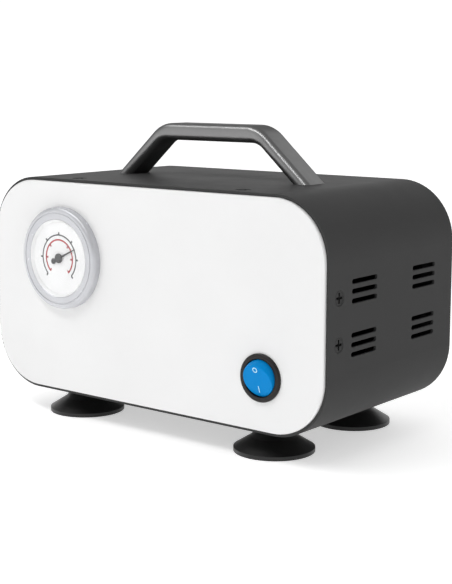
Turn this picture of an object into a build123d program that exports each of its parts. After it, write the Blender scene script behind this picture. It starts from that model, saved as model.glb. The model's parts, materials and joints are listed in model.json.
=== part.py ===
from build123d import *
from math import cos, radians, sin, sqrt
import os

os.makedirs("parts", exist_ok=True)

# A benchtop rotary vane vacuum pump in a rounded case. All sizes are in millimetres.
# +X is right and +Y is back as seen from the front panel, +Z is up. The origin is on the
# bench, under the middle of the whole object's bounding box.

# ---------------------------------------------------------------- driving dimensions
# Case: a sleeve with a rounded rectangular section, closed by a panel at each end.
SHELL_W = 218.0
SHELL_D = 110.0
SHELL_H = 113.0
SHELL_R = 30.0
SHELL_FRONT = -62.0
WALL = 1.4
FIT_GAP = 0.1
PANEL_T = 3.0
PANEL_PROUD = 1.5
PANEL_EDGE_R = 0.6
REAR_SLOT_L = 46.0
REAR_SLOT_W = 3.0
REAR_SLOT_PITCH = 7.0
REAR_SLOTS = 9
FRAME_D = 14.0
FRAME_T = 7.0
LUG_W = 12.0
LUG_H = 11.5
LUG_T = 5.0
LUG_X = 24.0
LUG_SIDE_X = 95.0
LUG_DZ = 42.75

# Side vents: rounded slots, three in each group.
VENT_L = 21.3
VENT_H = 2.35
VENT_PITCH = 4.53
VENT_YS = (-33.0, 20.0)
VENT_ZS = (83.0, 58.1)

# Fasteners: M4 countersunk in the sleeve, M3 and M4 pan heads elsewhere.
M4_R = 1.95
M4_HEAD_R = 3.45
M4_HEAD_SUNK = 0.3
M4_PAN_R = 3.9
M3_R = 1.45
M3_PAN_R = 2.8
M4_CROSS = 5.0
M4_CROSS_STEP = 0.8
M4_CROSS_FLOOR = 3.0
M4_CROSS_DEPTH = 1.8
CROSS_RATIO = 4.2
PAN_EASE = 0.33
PAN_CROSS = 1.15
PAN_CROSS_DEPTH = 0.6
SAME_SPOT = 0.01
M3_HEAD_H = 1.9
M4_HEAD_H = 2.4
HOLE_CLEAR = 0.1
SHELL_SCREW_Y = -53.6
SHELL_SCREW_DZ = 10.75
SHELL_SCREW_X = 54.0
SHELL_SCREW_L = 8.0
PANEL_SCREW_L = 8.0
SCREW_END_GAP = 1.0

# Suction-cup feet.
FOOT_H = 14.0
FOOT_R = 20.0
FOOT_NECK_R = 9.0
FOOT_RIM_T = 2.0
FOOT_HOLLOW = 3.2
FOOT_HOLLOW_R = 3.0
FOOT_RIM_W = 1.6
FOOT_LIP_W = 1.0
FOOT_LIP_H = 0.6
FOOT_SHOULDER_W = 2.4
FOOT_SHOULDER_H = 5.4
FOOT_NECK_H = 3.4
FOOT_X = 63.6
FOOT_YS = (-41.0, 27.0)
FOOT_SCREW_HOLE = 8.0

# Carrying handle: a flat bar bent into a trapezium.
HANDLE_RISE = 28.0
HANDLE_W = 17.2
HANDLE_BASE = 63.8
HANDLE_TOP = 32.1
HANDLE_LEG_T = 6.8
HANDLE_BAR_T = 8.8
HANDLE_OUTER_R = 19.0
HANDLE_INNER_R = 11.0
HANDLE_EDGE_R = 3.2
HANDLE_SCREW_X = 56.2
HANDLE_SCREW_DY = 4.6
HANDLE_HOLE_DEPTH = 4.5

# Vacuum gauge: a 40 mm dial in a flanged panel case.
GAUGE_X = -56.9
GAUGE_Z = 86.2
GAUGE_R = 26.6
GAUGE_PROUD = 4.4
GAUGE_EASE = 2.2
GAUGE_OPENING_R = 20.2
GAUGE_LIP_T = 0.9
GROOVE_R = 23.4
GROOVE_W = 0.5
GROOVE_DEPTH = 0.3
GAUGE_CASE_R = 23.0
GAUGE_CASE_L = 22.0
GAUGE_CASE_WALL = 1.2
CASE_WEB_T = 1.0
CASE_WEB_R = 14.9
LENS_R = 20.9
LENS_WINDOW_R = 20.1
LENS_T = 0.8
LENS_PROUD = 0.65
LENS_EASE = 0.4
DIAL_T = 0.6
DIAL_Y = -66.45
NEEDLE_ANGLE = 25.0
NEEDLE_L = 12.7
NEEDLE_TAIL = 4.3
NEEDLE_HUB_R = 2.5
NEEDLE_HUB_T = 0.6
NEEDLE_T = 0.4
NEEDLE_GAP = 0.35
NEEDLE_ROOT_W = 1.2
NEEDLE_TIP_W = 0.4
NEEDLE_TAIL_W = 1.1
COUNTERWEIGHT_R = 1.5
NEEDLE_EASE = 0.12
ARBOR_R = 0.5
ARBOR_L = 12.9
ARBOR_GAP = 0.1
PINION_R = 1.2
PINION_T = 1.6
PINION_SETBACK = 3.5
PINION_TEETH = 12
PINION_TOOTH_L = 0.7
PINION_TOOTH_W = 0.3
MOVEMENT_Y = -60.0
MOVEMENT_H = 6.0
MOVEMENT_R = 8.0
MOVEMENT_PLATE_T = 1.0
MOVEMENT_POST_R = 1.0
MOVEMENT_POST_DX = 6.0
MOVEMENT_LEG_DX = 3.0
GAUGE_STEM_R = 4.0
GAUGE_STEM_Y = -50.0
GAUGE_ELBOW_Y = -36.0
GAUGE_BARB_TOP = 95.0
GAUGE_HOSE_RADII = (20.0, 20.0, 8.0)
HOSE_BEND_Y = (11.0, 20.5)
HOSE_BEND_Z = (4.5, 10.5)
GAUGE_COLLAR_H = 4.8
GAUGE_COLLAR_T = 1.5
BOURDON_R = 15.0
BOURDON_Y = -49.0
BOURDON_T = 1.6
BOURDON_W = 5.0
BOURDON_GAP_X = 2.0
BOURDON_FOOT_W = 4.0

# Round rocker switch for a 20 mm hole.
SWITCH_X = 72.4
SWITCH_Z = 41.2
SWITCH_BEZEL_R = 11.6
SWITCH_BEZEL_T = 1.5
SWITCH_BEZEL_EASE = 0.9
SWITCH_BODY_R = 9.9
SWITCH_BODY_L = 17.0
WELL_R = 9.2
ROCKER_R = 8.9
ROCKER_TILT = 18.5
ROCKER_FACE = 3.5
ROCKER_BACK = 4.5
ROCKER_DEPTH = 2.0
ROCKER_EDGE_R = 0.5
ROCKER_PIN_R = 1.0
ROCKER_PIN_SPAN = 19.2
TERMINAL_SIZE = (0.8, 8.0, 6.3)
TERMINAL_PITCH = 5.0

# Mains inlet, IEC C14 shape, with a fuse drawer above it.
INLET_X = 73.4
INLET_Z = 41.2
INLET_FLANGE_W = 31.0
INLET_FLANGE_H = 35.0
INLET_FLANGE_T = 2.5
INLET_CORNER_R = 2.0
INLET_EASE = 0.8
INLET_BODY_W = 27.0
INLET_BODY_H = 31.0
INLET_BODY_L = 18.5
CAVITY_W = 24.4
CAVITY_H = 16.4
CAVITY_DZ = -5.5
CAVITY_DEPTH = 17.5
CAVITY_CHAMFER = 4.5
BLADE_W = 2.0
BLADE_H = 4.0
BLADE_L = 15.0
BLADE_DX = 7.0
BLADE_DZ = 2.0
BLADE_EASE = 0.4
TAB_L = 7.0
DRAWER_W = 21.6
DRAWER_H = 7.6
DRAWER_DZ = 9.8
DRAWER_L = 19.5
DRAWER_GAP = 0.2
DRAWER_WALL = 2.0
DRAWER_FLOOR_T = 1.2
DRAWER_PULL_W = 15.6
DRAWER_PULL_H = 5.6
DRAWER_PULL_R = 1.0
DRAWER_PULL_T = 1.2
FUSE_R = 2.5
FUSE_L = 20.0
FUSE_CAP_L = 5.0
FUSE_GAP = 0.2

# Hose nozzles on the rear panel.
NOZZLE_Z = 109.0
INLET_NOZZLE_X = -56.9
EXHAUST_NOZZLE_X = -79.0
NOZZLE_R = 4.0
NOZZLE_LAND = 14.0
NOZZLE_EASE = 0.6
NOZZLE_GROOVES = 3
NOZZLE_GROOVE_PITCH = 3.0
NOZZLE_GROOVE_W = 1.0
NOZZLE_GROOVE_DEPTH = 0.5
NOZZLE_HEX = 14.0
NOZZLE_THREAD_R = 4.9
NOZZLE_BORE_R = 1.8
BARB_R = 2.5
NUT_T = 3.5
NOZZLE_BARB_TIP = 33.0
HOSE_SETBACK = 5.0
PORT_THREAD_L = 8.0
PORT_DEPTH = 20.0
HOSE_R = 3.5
FITTING_R = 4.5
TEE_FRONT = -15.5
TEE_REAR = 7.0
ELBOW_REAR = 26.0

# Shaft line: pump at the left, motor in the middle, fan at the right.
AXIS_Y = 4.0
AXIS_Z = 66.0
SHAFT_R = 4.0
SHAFT_EASE = 0.5
SHAFT_X = (-90.0, 66.0)
RUNNING_GAP = 0.05
PUMP_R = 31.0
PUMP_X = (-86.0, -50.0)
FRONT_COVER_T = 6.0
REAR_COVER_T = 8.0
REAR_LIP_T = 2.0
BORE_R = 20.0
ECCENTRICITY = 2.8
ROTOR_R = 17.0
ROTOR_END_GAP = 0.2
VANE_COUNT = 4
VANE_T = 2.9
VANE_SLOT = 3.0
VANE_ROOT = 8.0
VANE_PLAY = 0.2
VANE_START = 45.0
PUMP_SCREW_COUNT = 6
PUMP_SCREW_PCR = 26.5
PORT_BLOCK_TOP = 100.0
PORT_BLOCK_Y = (-13.0, 21.0)
INLET_PORT_Y = -5.0
EXHAUST_PORT_Y = 13.0
PORT_R = 3.0
MOTOR_R = 35.0
MOTOR_WALL = 1.8
BELL_T = 4.0
BELL_SLOTS = 8
BELL_SLOT = (12.0, 5.0)
BELL_SLOT_PCR = 23.0
MOTOR_X = (-38.0, 40.0)
STATOR_L = 44.0
STATOR_BORE_R = 19.0
STATOR_SLOTS = 12
STATOR_SLOT_PCR = 23.0
STATOR_SLOT = (5.0, 4.0)
STATOR_MOUTH = (4.0, 1.5)
MOTOR_ROTOR_R = 18.6
WINDING_L = 8.0
WINDING_RADII = (21.0, 32.0)
WINDING_EASE = 3.0
END_RING_T = 3.0
END_RING_STEP = 1.0
BEARING_R = 11.0
BEARING_T = 7.0
BEARING_SUNK = 3.0
BEARING_SEAT_T = 2.0
RACE_STEP = 0.5
OUTER_RACE_T = 1.5
INNER_RACE_T = 1.8
SHAFT_CLEAR = 1.0
FAN_X = 56.0
FAN_R = 27.0
FAN_HUB_R = 9.0
FAN_HUB_L = 12.0
FAN_BLADES = 7
FAN_PITCH = 35.0
FAN_CHORD = 14.0
FAN_BLADE_T = 1.4

# Chassis inside the case.
BASE_T = 2.0
BASE_X = 78.0
BASE_Y = (-46.0, 32.0)
MOUNT_R = 7.0
MOUNT_BORE_R = 2.3
MOUNT_H = 10.0
MOUNT_XS = (-50.0, 32.0)
MOUNT_YS = (-12.0, 20.0)
CRADLE_T = 3.0
CRADLE_X = (-88.0, 44.0)
CRADLE_W = 52.0
PUMP_SADDLE_X = -68.0
SADDLE_XS = (-24.0, 26.0)
SADDLE_T = 10.0
SADDLE_H = 14.0
SADDLE_W = 48.0
SHEET_CORNER_R = 4.0
CLIP_X = -46.0
STRAP_T = 1.2
CAPACITOR_R = 12.0
CAPACITOR_X = (-76.0, -34.0)
CAPACITOR_Y = -44.0
CAPACITOR_Z = 37.0
CAPACITOR_EASE = 1.5
CAPACITOR_TAB = (7.0, 0.8, 6.3)
CAPACITOR_TAB_DY = 5.0
CLIP_POST_W = 6.0
CLIP_FOOT = (14.0, 1.5)

# ---------------------------------------------------------------- places worked out
SHELL_BACK = SHELL_FRONT + SHELL_D
SHELL_BOTTOM = FOOT_H
SHELL_TOP = SHELL_BOTTOM + SHELL_H
MID_Y = SHELL_FRONT + SHELL_D / 2
MID_Z = SHELL_BOTTOM + SHELL_H / 2
PANEL_FRONT = SHELL_FRONT - PANEL_PROUD
FRAME_FRONT = PANEL_FRONT + PANEL_T
FRAME_BACK = FRAME_FRONT + FRAME_D
REAR_FACE = SHELL_BACK + PANEL_PROUD
REAR_INNER = REAR_FACE - PANEL_T
FRAME_INSET = WALL + FIT_GAP
GAUGE_FRONT = PANEL_FRONT - GAUGE_PROUD
LENS_FRONT = GAUGE_FRONT - LENS_PROUD
NOZZLE_TIP = -LENS_FRONT
FLOOR_Z = SHELL_BOTTOM + WALL
BASE_TOP = FLOOR_Z + BASE_T
CRADLE_Z = BASE_TOP + MOUNT_H

FROM_TOP = (Align.CENTER, Align.CENTER, Align.MAX)
FROM_BASE = (Align.CENTER, Align.CENTER, Align.MIN)
SIDEWAYS = (0, 90, 0)
LUG_SPOTS = [(sx * LUG_X, MID_Z + sz * LUG_DZ) for sx in (-1, 1) for sz in (-1, 1)]
LUG_SPOTS += [(sx * LUG_SIDE_X, MID_Z) for sx in (-1, 1)]


# ---------------------------------------------------------------- shared shapes
def facing_front(y):
    """Sketch plane at depth y, seen from the front: local x is +X and local y is +Z."""
    return Plane.XZ.offset(-y)


def across(x):
    """Sketch plane square to the shaft line at x: local x is +Y and local y is +Z."""
    return Plane.YZ.offset(x)


def finish(piece, name):
    """Label a finished piece and write it as one STEP file."""
    piece.part.label = name
    export_step(piece.part, f"parts/{name}.step")


def housing_outline(inset, mode=Mode.ADD):
    """The case's rounded rectangular section, moved in by inset."""
    with Locations((0, MID_Z)):
        RectangleRounded(SHELL_W - 2 * inset, SHELL_H - 2 * inset, SHELL_R - inset, mode=mode)


def cross_recess(size, depth):
    """A cross-head recess cut down from the current location."""
    Box(size, size / CROSS_RATIO, depth, align=FROM_TOP, mode=Mode.SUBTRACT)
    Box(size / CROSS_RATIO, size, depth, align=FROM_TOP, mode=Mode.SUBTRACT)


def shell_screw_planes():
    """Seats of the countersunk screws round the front end of the sleeve."""
    seats = []
    for sx in (-1, 1):
        for dz in (-SHELL_SCREW_DZ, SHELL_SCREW_DZ):
            seats.append(Plane(origin=(sx * SHELL_W / 2, SHELL_SCREW_Y, MID_Z + dz), z_dir=(sx, 0, 0)))
        for z, sz in ((SHELL_BOTTOM, -1), (SHELL_TOP, 1)):
            seats.append(Plane(origin=(sx * SHELL_SCREW_X, SHELL_SCREW_Y, z), z_dir=(0, 0, sz)))
    return seats


def countersinks(depth):
    """Countersunk clearance holes for the sleeve's screws."""
    with Locations(*shell_screw_planes()):
        CounterSinkHole(M4_R + HOLE_CLEAR, M4_HEAD_R + HOLE_CLEAR + M4_HEAD_SUNK, depth, 90)


def lug_planes(y):
    """Seats of the panel screws at depth y, with the head towards the back."""
    return [Plane(origin=(x, y, z), z_dir=(0, 1, 0)) for x, z in LUG_SPOTS]


def holes(planes, radius, depth):
    """Plain holes cut down from each seat."""
    with Locations(*planes):
        Cylinder(radius, depth, align=FROM_TOP, mode=Mode.SUBTRACT)


def pan_screws(planes, shank_r, head_r, head_h, length):
    """Pan-head screws, one on each seat."""
    with BuildPart() as screws:
        with Locations(*planes):
            Cylinder(shank_r, length, align=FROM_TOP)
            Cylinder(head_r, head_h, align=FROM_BASE)
        heads = [plane.offset(head_h) for plane in planes]
        rims = screws.edges().filter_by(GeomType.CIRCLE)
        tops = [e for e in rims if abs(e.radius - head_r) < SAME_SPOT
                and any(abs((e.arc_center - h.origin).length) < SAME_SPOT for h in heads)]
        fillet(tops, head_h * PAN_EASE)
        with Locations(*heads):
            cross_recess(head_r * PAN_CROSS, head_h * PAN_CROSS_DEPTH)
    return screws


def edge_frame(y_front, lug_y):
    """A ring just inside the sleeve with screw lugs, which holds one of the panels."""
    with BuildPart() as ring:
        with BuildSketch(facing_front(y_front)):
            housing_outline(FRAME_INSET)
            housing_outline(FRAME_INSET + FRAME_T, mode=Mode.SUBTRACT)
        extrude(amount=-FRAME_D)
        with BuildSketch(facing_front(lug_y)):
            with Locations(*LUG_SPOTS):
                Rectangle(LUG_W, LUG_H)
        extrude(amount=-LUG_T)
        holes(lug_planes(lug_y + LUG_T), M3_R + HOLE_CLEAR, LUG_T)
    return ring


def eased_plate(y_back, face):
    """A flat rounded panel; face, 0 or -1, says which side shows and has its edge eased."""
    with BuildPart() as plate:
        with BuildSketch(facing_front(y_back)):
            housing_outline(FRAME_INSET)
        extrude(amount=PANEL_T)
        fillet(plate.faces().sort_by(Axis.Y)[face].edges(), PANEL_EDGE_R)
    return plate


def handle_spots(z):
    """Places of the four handle screws at height z."""
    return [(sx * HANDLE_SCREW_X, MID_Y + sy * HANDLE_SCREW_DY, z) for sx in (-1, 1) for sy in (-1, 1)]


# ---------------------------------------------------------------- case
VENT_SPOTS = [(y, z + row * VENT_PITCH) for y in VENT_YS for z in VENT_ZS for row in (-1, 0, 1)]
with BuildPart() as shell:
    with BuildSketch(facing_front(SHELL_FRONT)):
        housing_outline(0)
        housing_outline(WALL, mode=Mode.SUBTRACT)
    extrude(amount=-SHELL_D)
    with BuildSketch(Plane.YZ):
        with Locations(*VENT_SPOTS):
            SlotOverall(VENT_L, VENT_H)
    extrude(amount=SHELL_W, both=True, mode=Mode.SUBTRACT)
    countersinks(WALL * 2)
    with Locations(*[(x, y, FLOOR_Z) for x in (-FOOT_X, FOOT_X) for y in FOOT_YS]):
        Cylinder(M4_R + HOLE_CLEAR, WALL, align=FROM_TOP, mode=Mode.SUBTRACT)
    with Locations(*handle_spots(SHELL_TOP)):
        Cylinder(M4_R + HOLE_CLEAR, WALL, align=FROM_TOP, mode=Mode.SUBTRACT)
finish(shell, "shell")

with BuildPart() as front_frame:
    add(edge_frame(FRAME_FRONT, FRAME_BACK - LUG_T).part)
    countersinks(SHELL_SCREW_L + HOLE_CLEAR)
finish(front_frame, "front_frame")

rear_frame = edge_frame(REAR_INNER - FRAME_D, REAR_INNER - LUG_T)
finish(rear_frame, "rear_frame")

with BuildPart() as front_panel:
    add(eased_plate(FRAME_FRONT, 0).part)
    with BuildSketch(facing_front(FRAME_FRONT)):
        with Locations(*LUG_SPOTS):
            Circle(LUG_T)
    extrude(amount=-(FRAME_D - LUG_T))
    holes(lug_planes(FRAME_BACK - LUG_T), M3_R + HOLE_CLEAR, LUG_T)
    with BuildSketch(facing_front(PANEL_FRONT)):
        with Locations((GAUGE_X, GAUGE_Z)):
            Circle(GAUGE_CASE_R + FIT_GAP)
        with Locations((SWITCH_X, SWITCH_Z)):
            Circle(SWITCH_BODY_R + FIT_GAP)
    extrude(amount=-PANEL_T, mode=Mode.SUBTRACT)
finish(front_panel, "front_panel")

with BuildPart() as rear_panel:
    add(eased_plate(REAR_FACE, -1).part)
    holes(lug_planes(REAR_FACE), M3_R + HOLE_CLEAR, PANEL_T)
    with BuildSketch(facing_front(REAR_FACE)):
        with Locations((INLET_X, INLET_Z)):
            Rectangle(INLET_BODY_W + 2 * FIT_GAP, INLET_BODY_H + 2 * FIT_GAP)
        with Locations((INLET_NOZZLE_X, NOZZLE_Z), (EXHAUST_NOZZLE_X, NOZZLE_Z)):
            Circle(NOZZLE_THREAD_R + FIT_GAP)
        with Locations((0, MID_Z)):
            with GridLocations(REAR_SLOT_PITCH, 1, REAR_SLOTS, 1):
                SlotOverall(REAR_SLOT_L, REAR_SLOT_W, rotation=90)
    extrude(amount=PANEL_T, mode=Mode.SUBTRACT)
finish(rear_panel, "rear_panel")

M3_PAN = (M3_R, M3_PAN_R, M3_HEAD_H)
M4_PAN = (M4_R, M4_PAN_R, M4_HEAD_H)
finish(pan_screws(lug_planes(FRAME_BACK), *M3_PAN, PANEL_SCREW_L), "front_panel_screws")
finish(pan_screws(lug_planes(REAR_FACE), *M3_PAN, PANEL_SCREW_L), "rear_panel_screws")

with BuildPart() as shell_screws:
    with Locations(*[seat.offset(-M4_HEAD_SUNK) for seat in shell_screw_planes()]):
        Cylinder(M4_R, SHELL_SCREW_L - M4_HEAD_SUNK, align=FROM_TOP)
        Cone(M4_R, M4_HEAD_R, M4_HEAD_R - M4_R, align=FROM_TOP)
        cross_recess(M4_CROSS, M4_CROSS_STEP)
        cross_recess(M4_CROSS_FLOOR, M4_CROSS_DEPTH)
finish(shell_screws, "shell_screws")

# ---------------------------------------------------------------- chassis and feet
FOOT_SPOTS = [(x, y) for x in (-FOOT_X, FOOT_X) for y in FOOT_YS]
MOUNT_SPOTS = [(x, y) for x in MOUNT_XS for y in MOUNT_YS]

with BuildPart() as base_plate:
    with BuildSketch(Plane.XY.offset(FLOOR_Z)):
        with Locations((0, (BASE_Y[0] + BASE_Y[1]) / 2)):
            RectangleRounded(2 * BASE_X, BASE_Y[1] - BASE_Y[0], SHEET_CORNER_R)
        with Locations(*FOOT_SPOTS):
            Circle(M4_R + HOLE_CLEAR, mode=Mode.SUBTRACT)
    extrude(amount=BASE_T)
finish(base_plate, "base_plate")


def suction_foot(x, y, name):
    """A rubber suction cup: a thick neck, a flared skirt with a rim, and a hollow underside."""
    with BuildPart() as foot:
        with BuildSketch(Plane.XZ) as profile:
            with BuildLine():
                Polyline(
                    (0, FOOT_HOLLOW),
                    (FOOT_HOLLOW_R, FOOT_HOLLOW),
                    (FOOT_R - FOOT_RIM_W, 0),
                    (FOOT_R, 0),
                    (FOOT_R, FOOT_RIM_T),
                    (FOOT_R - FOOT_LIP_W, FOOT_RIM_T + FOOT_LIP_H),
                    (FOOT_NECK_R + FOOT_SHOULDER_W, FOOT_RIM_T + FOOT_SHOULDER_H),
                    (FOOT_NECK_R, FOOT_H - FOOT_NECK_H),
                    (FOOT_NECK_R, FOOT_H),
                    (0, FOOT_H),
                    close=True,
                )
            make_face()
        revolve(axis=Axis.Z)
        with Locations((0, 0, FOOT_H)):
            Cylinder(M4_R + RUNNING_GAP, FOOT_SCREW_HOLE, align=FROM_TOP, mode=Mode.SUBTRACT)
    with BuildPart() as placed:
        with Locations((x, y)):
            add(foot.part)
    finish(placed, name)


for side, x in (("left", -FOOT_X), ("right", FOOT_X)):
    for end, y in (("front", FOOT_YS[0]), ("rear", FOOT_YS[1])):
        suction_foot(x, y, f"foot_{end}_{side}")

foot_seats = [Plane(origin=(x, y, BASE_TOP), z_dir=(0, 0, 1)) for x, y in FOOT_SPOTS]
foot_screw_length = WALL + BASE_T + FOOT_SCREW_HOLE - SCREW_END_GAP
finish(pan_screws(foot_seats, *M4_PAN, foot_screw_length), "foot_screws")

# ---------------------------------------------------------------- carrying handle
HANDLE_PITCH = (HANDLE_BASE - HANDLE_TOP) / HANDLE_RISE
INNER_BASE = HANDLE_BASE - HANDLE_LEG_T * sqrt(1 + HANDLE_PITCH ** 2)
INNER_RISE = HANDLE_RISE - HANDLE_BAR_T
INNER_TOP = INNER_BASE - INNER_RISE * HANDLE_PITCH


with BuildPart() as handle:
    with BuildSketch(facing_front(MID_Y)) as bar:
        with Locations((0, SHELL_TOP)):
            Polygon((-HANDLE_BASE, 0), (HANDLE_BASE, 0), (HANDLE_TOP, HANDLE_RISE),
                    (-HANDLE_TOP, HANDLE_RISE), align=None)
        fillet(bar.vertices().group_by(Axis.Y)[-1], HANDLE_OUTER_R)
        with BuildSketch(mode=Mode.SUBTRACT) as gap:
            with Locations((0, SHELL_TOP)):
                Polygon((-INNER_BASE, 0), (INNER_BASE, 0), (INNER_TOP, INNER_RISE),
                        (-INNER_TOP, INNER_RISE), align=None)
            fillet(gap.vertices().group_by(Axis.Y)[-1], HANDLE_INNER_R)
    extrude(amount=HANDLE_W / 2, both=True)
    sides = handle.faces().filter_by(Axis.Y)
    fillet(sides.edges().filter_by(lambda e: e.center().Z > SHELL_TOP + FIT_GAP), HANDLE_EDGE_R)
    with Locations(*handle_spots(SHELL_TOP)):
        Cylinder(M4_R + RUNNING_GAP, HANDLE_HOLE_DEPTH, align=FROM_BASE, mode=Mode.SUBTRACT)
finish(handle, "handle")

handle_seats = [Plane(origin=spot, z_dir=(0, 0, -1)) for spot in handle_spots(SHELL_TOP - WALL)]
handle_screw_length = WALL + HANDLE_HOLE_DEPTH - SCREW_END_GAP / 2
finish(pan_screws(handle_seats, *M4_PAN, handle_screw_length), "handle_screws")

# ---------------------------------------------------------------- vacuum gauge
GAUGE_SPOT = (GAUGE_X, GAUGE_Z)
GAUGE_BACK = PANEL_FRONT + GAUGE_CASE_L
LENS_BACK = LENS_FRONT + LENS_T
LIP_BACK = GAUGE_FRONT + GAUGE_LIP_T
DIAL_BACK = DIAL_Y + DIAL_T
WEB_BACK = PANEL_FRONT + CASE_WEB_T
NEEDLE_Y = DIAL_Y - NEEDLE_GAP
MOVEMENT_BACK = MOVEMENT_Y + MOVEMENT_H


def gauge_disc(y, radius, depth, mode=Mode.ADD, dx=0.0):
    """A disc beside or on the gauge's axis, from depth y towards the back."""
    with Locations(Plane(origin=(GAUGE_X + dx, y, GAUGE_Z), z_dir=(0, -1, 0))):
        Cylinder(radius, depth, align=FROM_TOP, mode=mode)


with BuildPart() as gauge_bezel:
    gauge_disc(GAUGE_FRONT, GAUGE_R, GAUGE_PROUD)
    fillet(gauge_bezel.faces().sort_by(Axis.Y)[0].edges(), GAUGE_EASE)
    gauge_disc(GAUGE_FRONT, GAUGE_OPENING_R, GAUGE_PROUD, Mode.SUBTRACT)
    gauge_disc(LIP_BACK, LENS_R + FIT_GAP, GAUGE_PROUD, Mode.SUBTRACT)
    with BuildSketch(facing_front(GAUGE_FRONT)):
        with Locations(GAUGE_SPOT):
            Circle(GROOVE_R + GROOVE_W)
            Circle(GROOVE_R, mode=Mode.SUBTRACT)
    extrude(amount=-GROOVE_DEPTH, mode=Mode.SUBTRACT)
finish(gauge_bezel, "gauge_bezel")

# The lens is a shallow clear cap: its window stands out of the bezel, its flange is held behind the lip.
with BuildPart() as gauge_lens:
    gauge_disc(LENS_FRONT, LENS_WINDOW_R, DIAL_Y - LENS_FRONT)
    fillet(gauge_lens.faces().sort_by(Axis.Y)[0].edges(), LENS_EASE)
    gauge_disc(LIP_BACK, LENS_R, DIAL_Y - LIP_BACK)
    gauge_disc(LENS_BACK, LENS_WINDOW_R - LENS_T, DIAL_Y - LENS_BACK, Mode.SUBTRACT)
finish(gauge_lens, "gauge_lens")

with BuildPart() as gauge_dial:
    gauge_disc(DIAL_Y, LENS_R, DIAL_T)
    gauge_disc(DIAL_Y, ARBOR_R + NEEDLE_GAP, DIAL_T, Mode.SUBTRACT)
finish(gauge_dial, "gauge_dial")

with BuildPart() as gauge_case:
    gauge_disc(PANEL_FRONT, GAUGE_CASE_R, GAUGE_CASE_L)
    gauge_disc(PANEL_FRONT, GAUGE_CASE_R - GAUGE_CASE_WALL, GAUGE_CASE_L - GAUGE_CASE_WALL, Mode.SUBTRACT)
    gauge_disc(PANEL_FRONT, GAUGE_CASE_R - GAUGE_CASE_WALL / 2, CASE_WEB_T)
    gauge_disc(DIAL_BACK, LENS_R, WEB_BACK - DIAL_BACK)
    gauge_disc(DIAL_BACK, CASE_WEB_R, WEB_BACK - DIAL_BACK, Mode.SUBTRACT)
    gauge_disc(GAUGE_BACK - GAUGE_CASE_WALL, GAUGE_STEM_R + FIT_GAP, GAUGE_CASE_WALL, Mode.SUBTRACT)
finish(gauge_case, "gauge_case")

NEEDLE_DIR = (cos(radians(NEEDLE_ANGLE)), 0, sin(radians(NEEDLE_ANGLE)))
PINION_Y = NEEDLE_Y + ARBOR_L - PINION_SETBACK
with BuildPart() as gauge_needle:
    with BuildSketch(Plane(origin=(GAUGE_X, NEEDLE_Y, GAUGE_Z), x_dir=NEEDLE_DIR, z_dir=(0, -1, 0))):
        Polygon((0, -NEEDLE_ROOT_W / 2), (NEEDLE_L, -NEEDLE_TIP_W / 2),
                (NEEDLE_L, NEEDLE_TIP_W / 2), (0, NEEDLE_ROOT_W / 2), align=None)
        with Locations((-NEEDLE_TAIL / 2, 0)):
            Rectangle(NEEDLE_TAIL, NEEDLE_TAIL_W)
        with Locations((-NEEDLE_TAIL, 0)):
            Circle(COUNTERWEIGHT_R)
    extrude(amount=NEEDLE_T)
    gauge_disc(NEEDLE_Y - NEEDLE_HUB_T, NEEDLE_HUB_R, NEEDLE_HUB_T)
    fillet(gauge_needle.faces().sort_by(Axis.Y)[0].edges(), NEEDLE_EASE)
    gauge_disc(NEEDLE_Y, ARBOR_R, ARBOR_L)
    gauge_disc(PINION_Y, PINION_R, PINION_T)
    with Locations(Plane(origin=(GAUGE_X, PINION_Y, GAUGE_Z), z_dir=(0, -1, 0))):
        with PolarLocations(PINION_R, PINION_TEETH):
            Box(PINION_TOOTH_L, PINION_TOOTH_W, PINION_T, align=FROM_TOP)
finish(gauge_needle, "gauge_needle")

with BuildPart() as gauge_movement:
    for y in (MOVEMENT_Y, MOVEMENT_BACK - MOVEMENT_PLATE_T):
        gauge_disc(y, MOVEMENT_R, MOVEMENT_PLATE_T)
        gauge_disc(y, ARBOR_R + ARBOR_GAP, MOVEMENT_PLATE_T, Mode.SUBTRACT)
    for side in (-1, 1):
        gauge_disc(MOVEMENT_Y, MOVEMENT_POST_R, MOVEMENT_H, dx=side * MOVEMENT_POST_DX)
        gauge_disc(MOVEMENT_BACK, MOVEMENT_POST_R, GAUGE_STEM_Y - MOVEMENT_BACK, dx=side * MOVEMENT_LEG_DX)
finish(gauge_movement, "gauge_movement")

with BuildPart() as gauge_connector:
    gauge_disc(GAUGE_STEM_Y, GAUGE_STEM_R, GAUGE_ELBOW_Y + GAUGE_STEM_R - GAUGE_STEM_Y)
    with Locations((GAUGE_X, GAUGE_ELBOW_Y, GAUGE_Z)):
        Cylinder(BARB_R, GAUGE_BARB_TOP - GAUGE_Z, align=FROM_BASE)
        Cylinder(BARB_R + GAUGE_COLLAR_T, GAUGE_COLLAR_H, align=FROM_BASE)
        Cylinder(NOZZLE_BORE_R / 2, GAUGE_BARB_TOP - GAUGE_Z, align=FROM_BASE, mode=Mode.SUBTRACT)
    stem_bore_y = GAUGE_STEM_Y + BARB_R
    gauge_disc(stem_bore_y, NOZZLE_BORE_R / 2, GAUGE_ELBOW_Y - stem_bore_y, Mode.SUBTRACT)
finish(gauge_connector, "gauge_connector")

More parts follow.
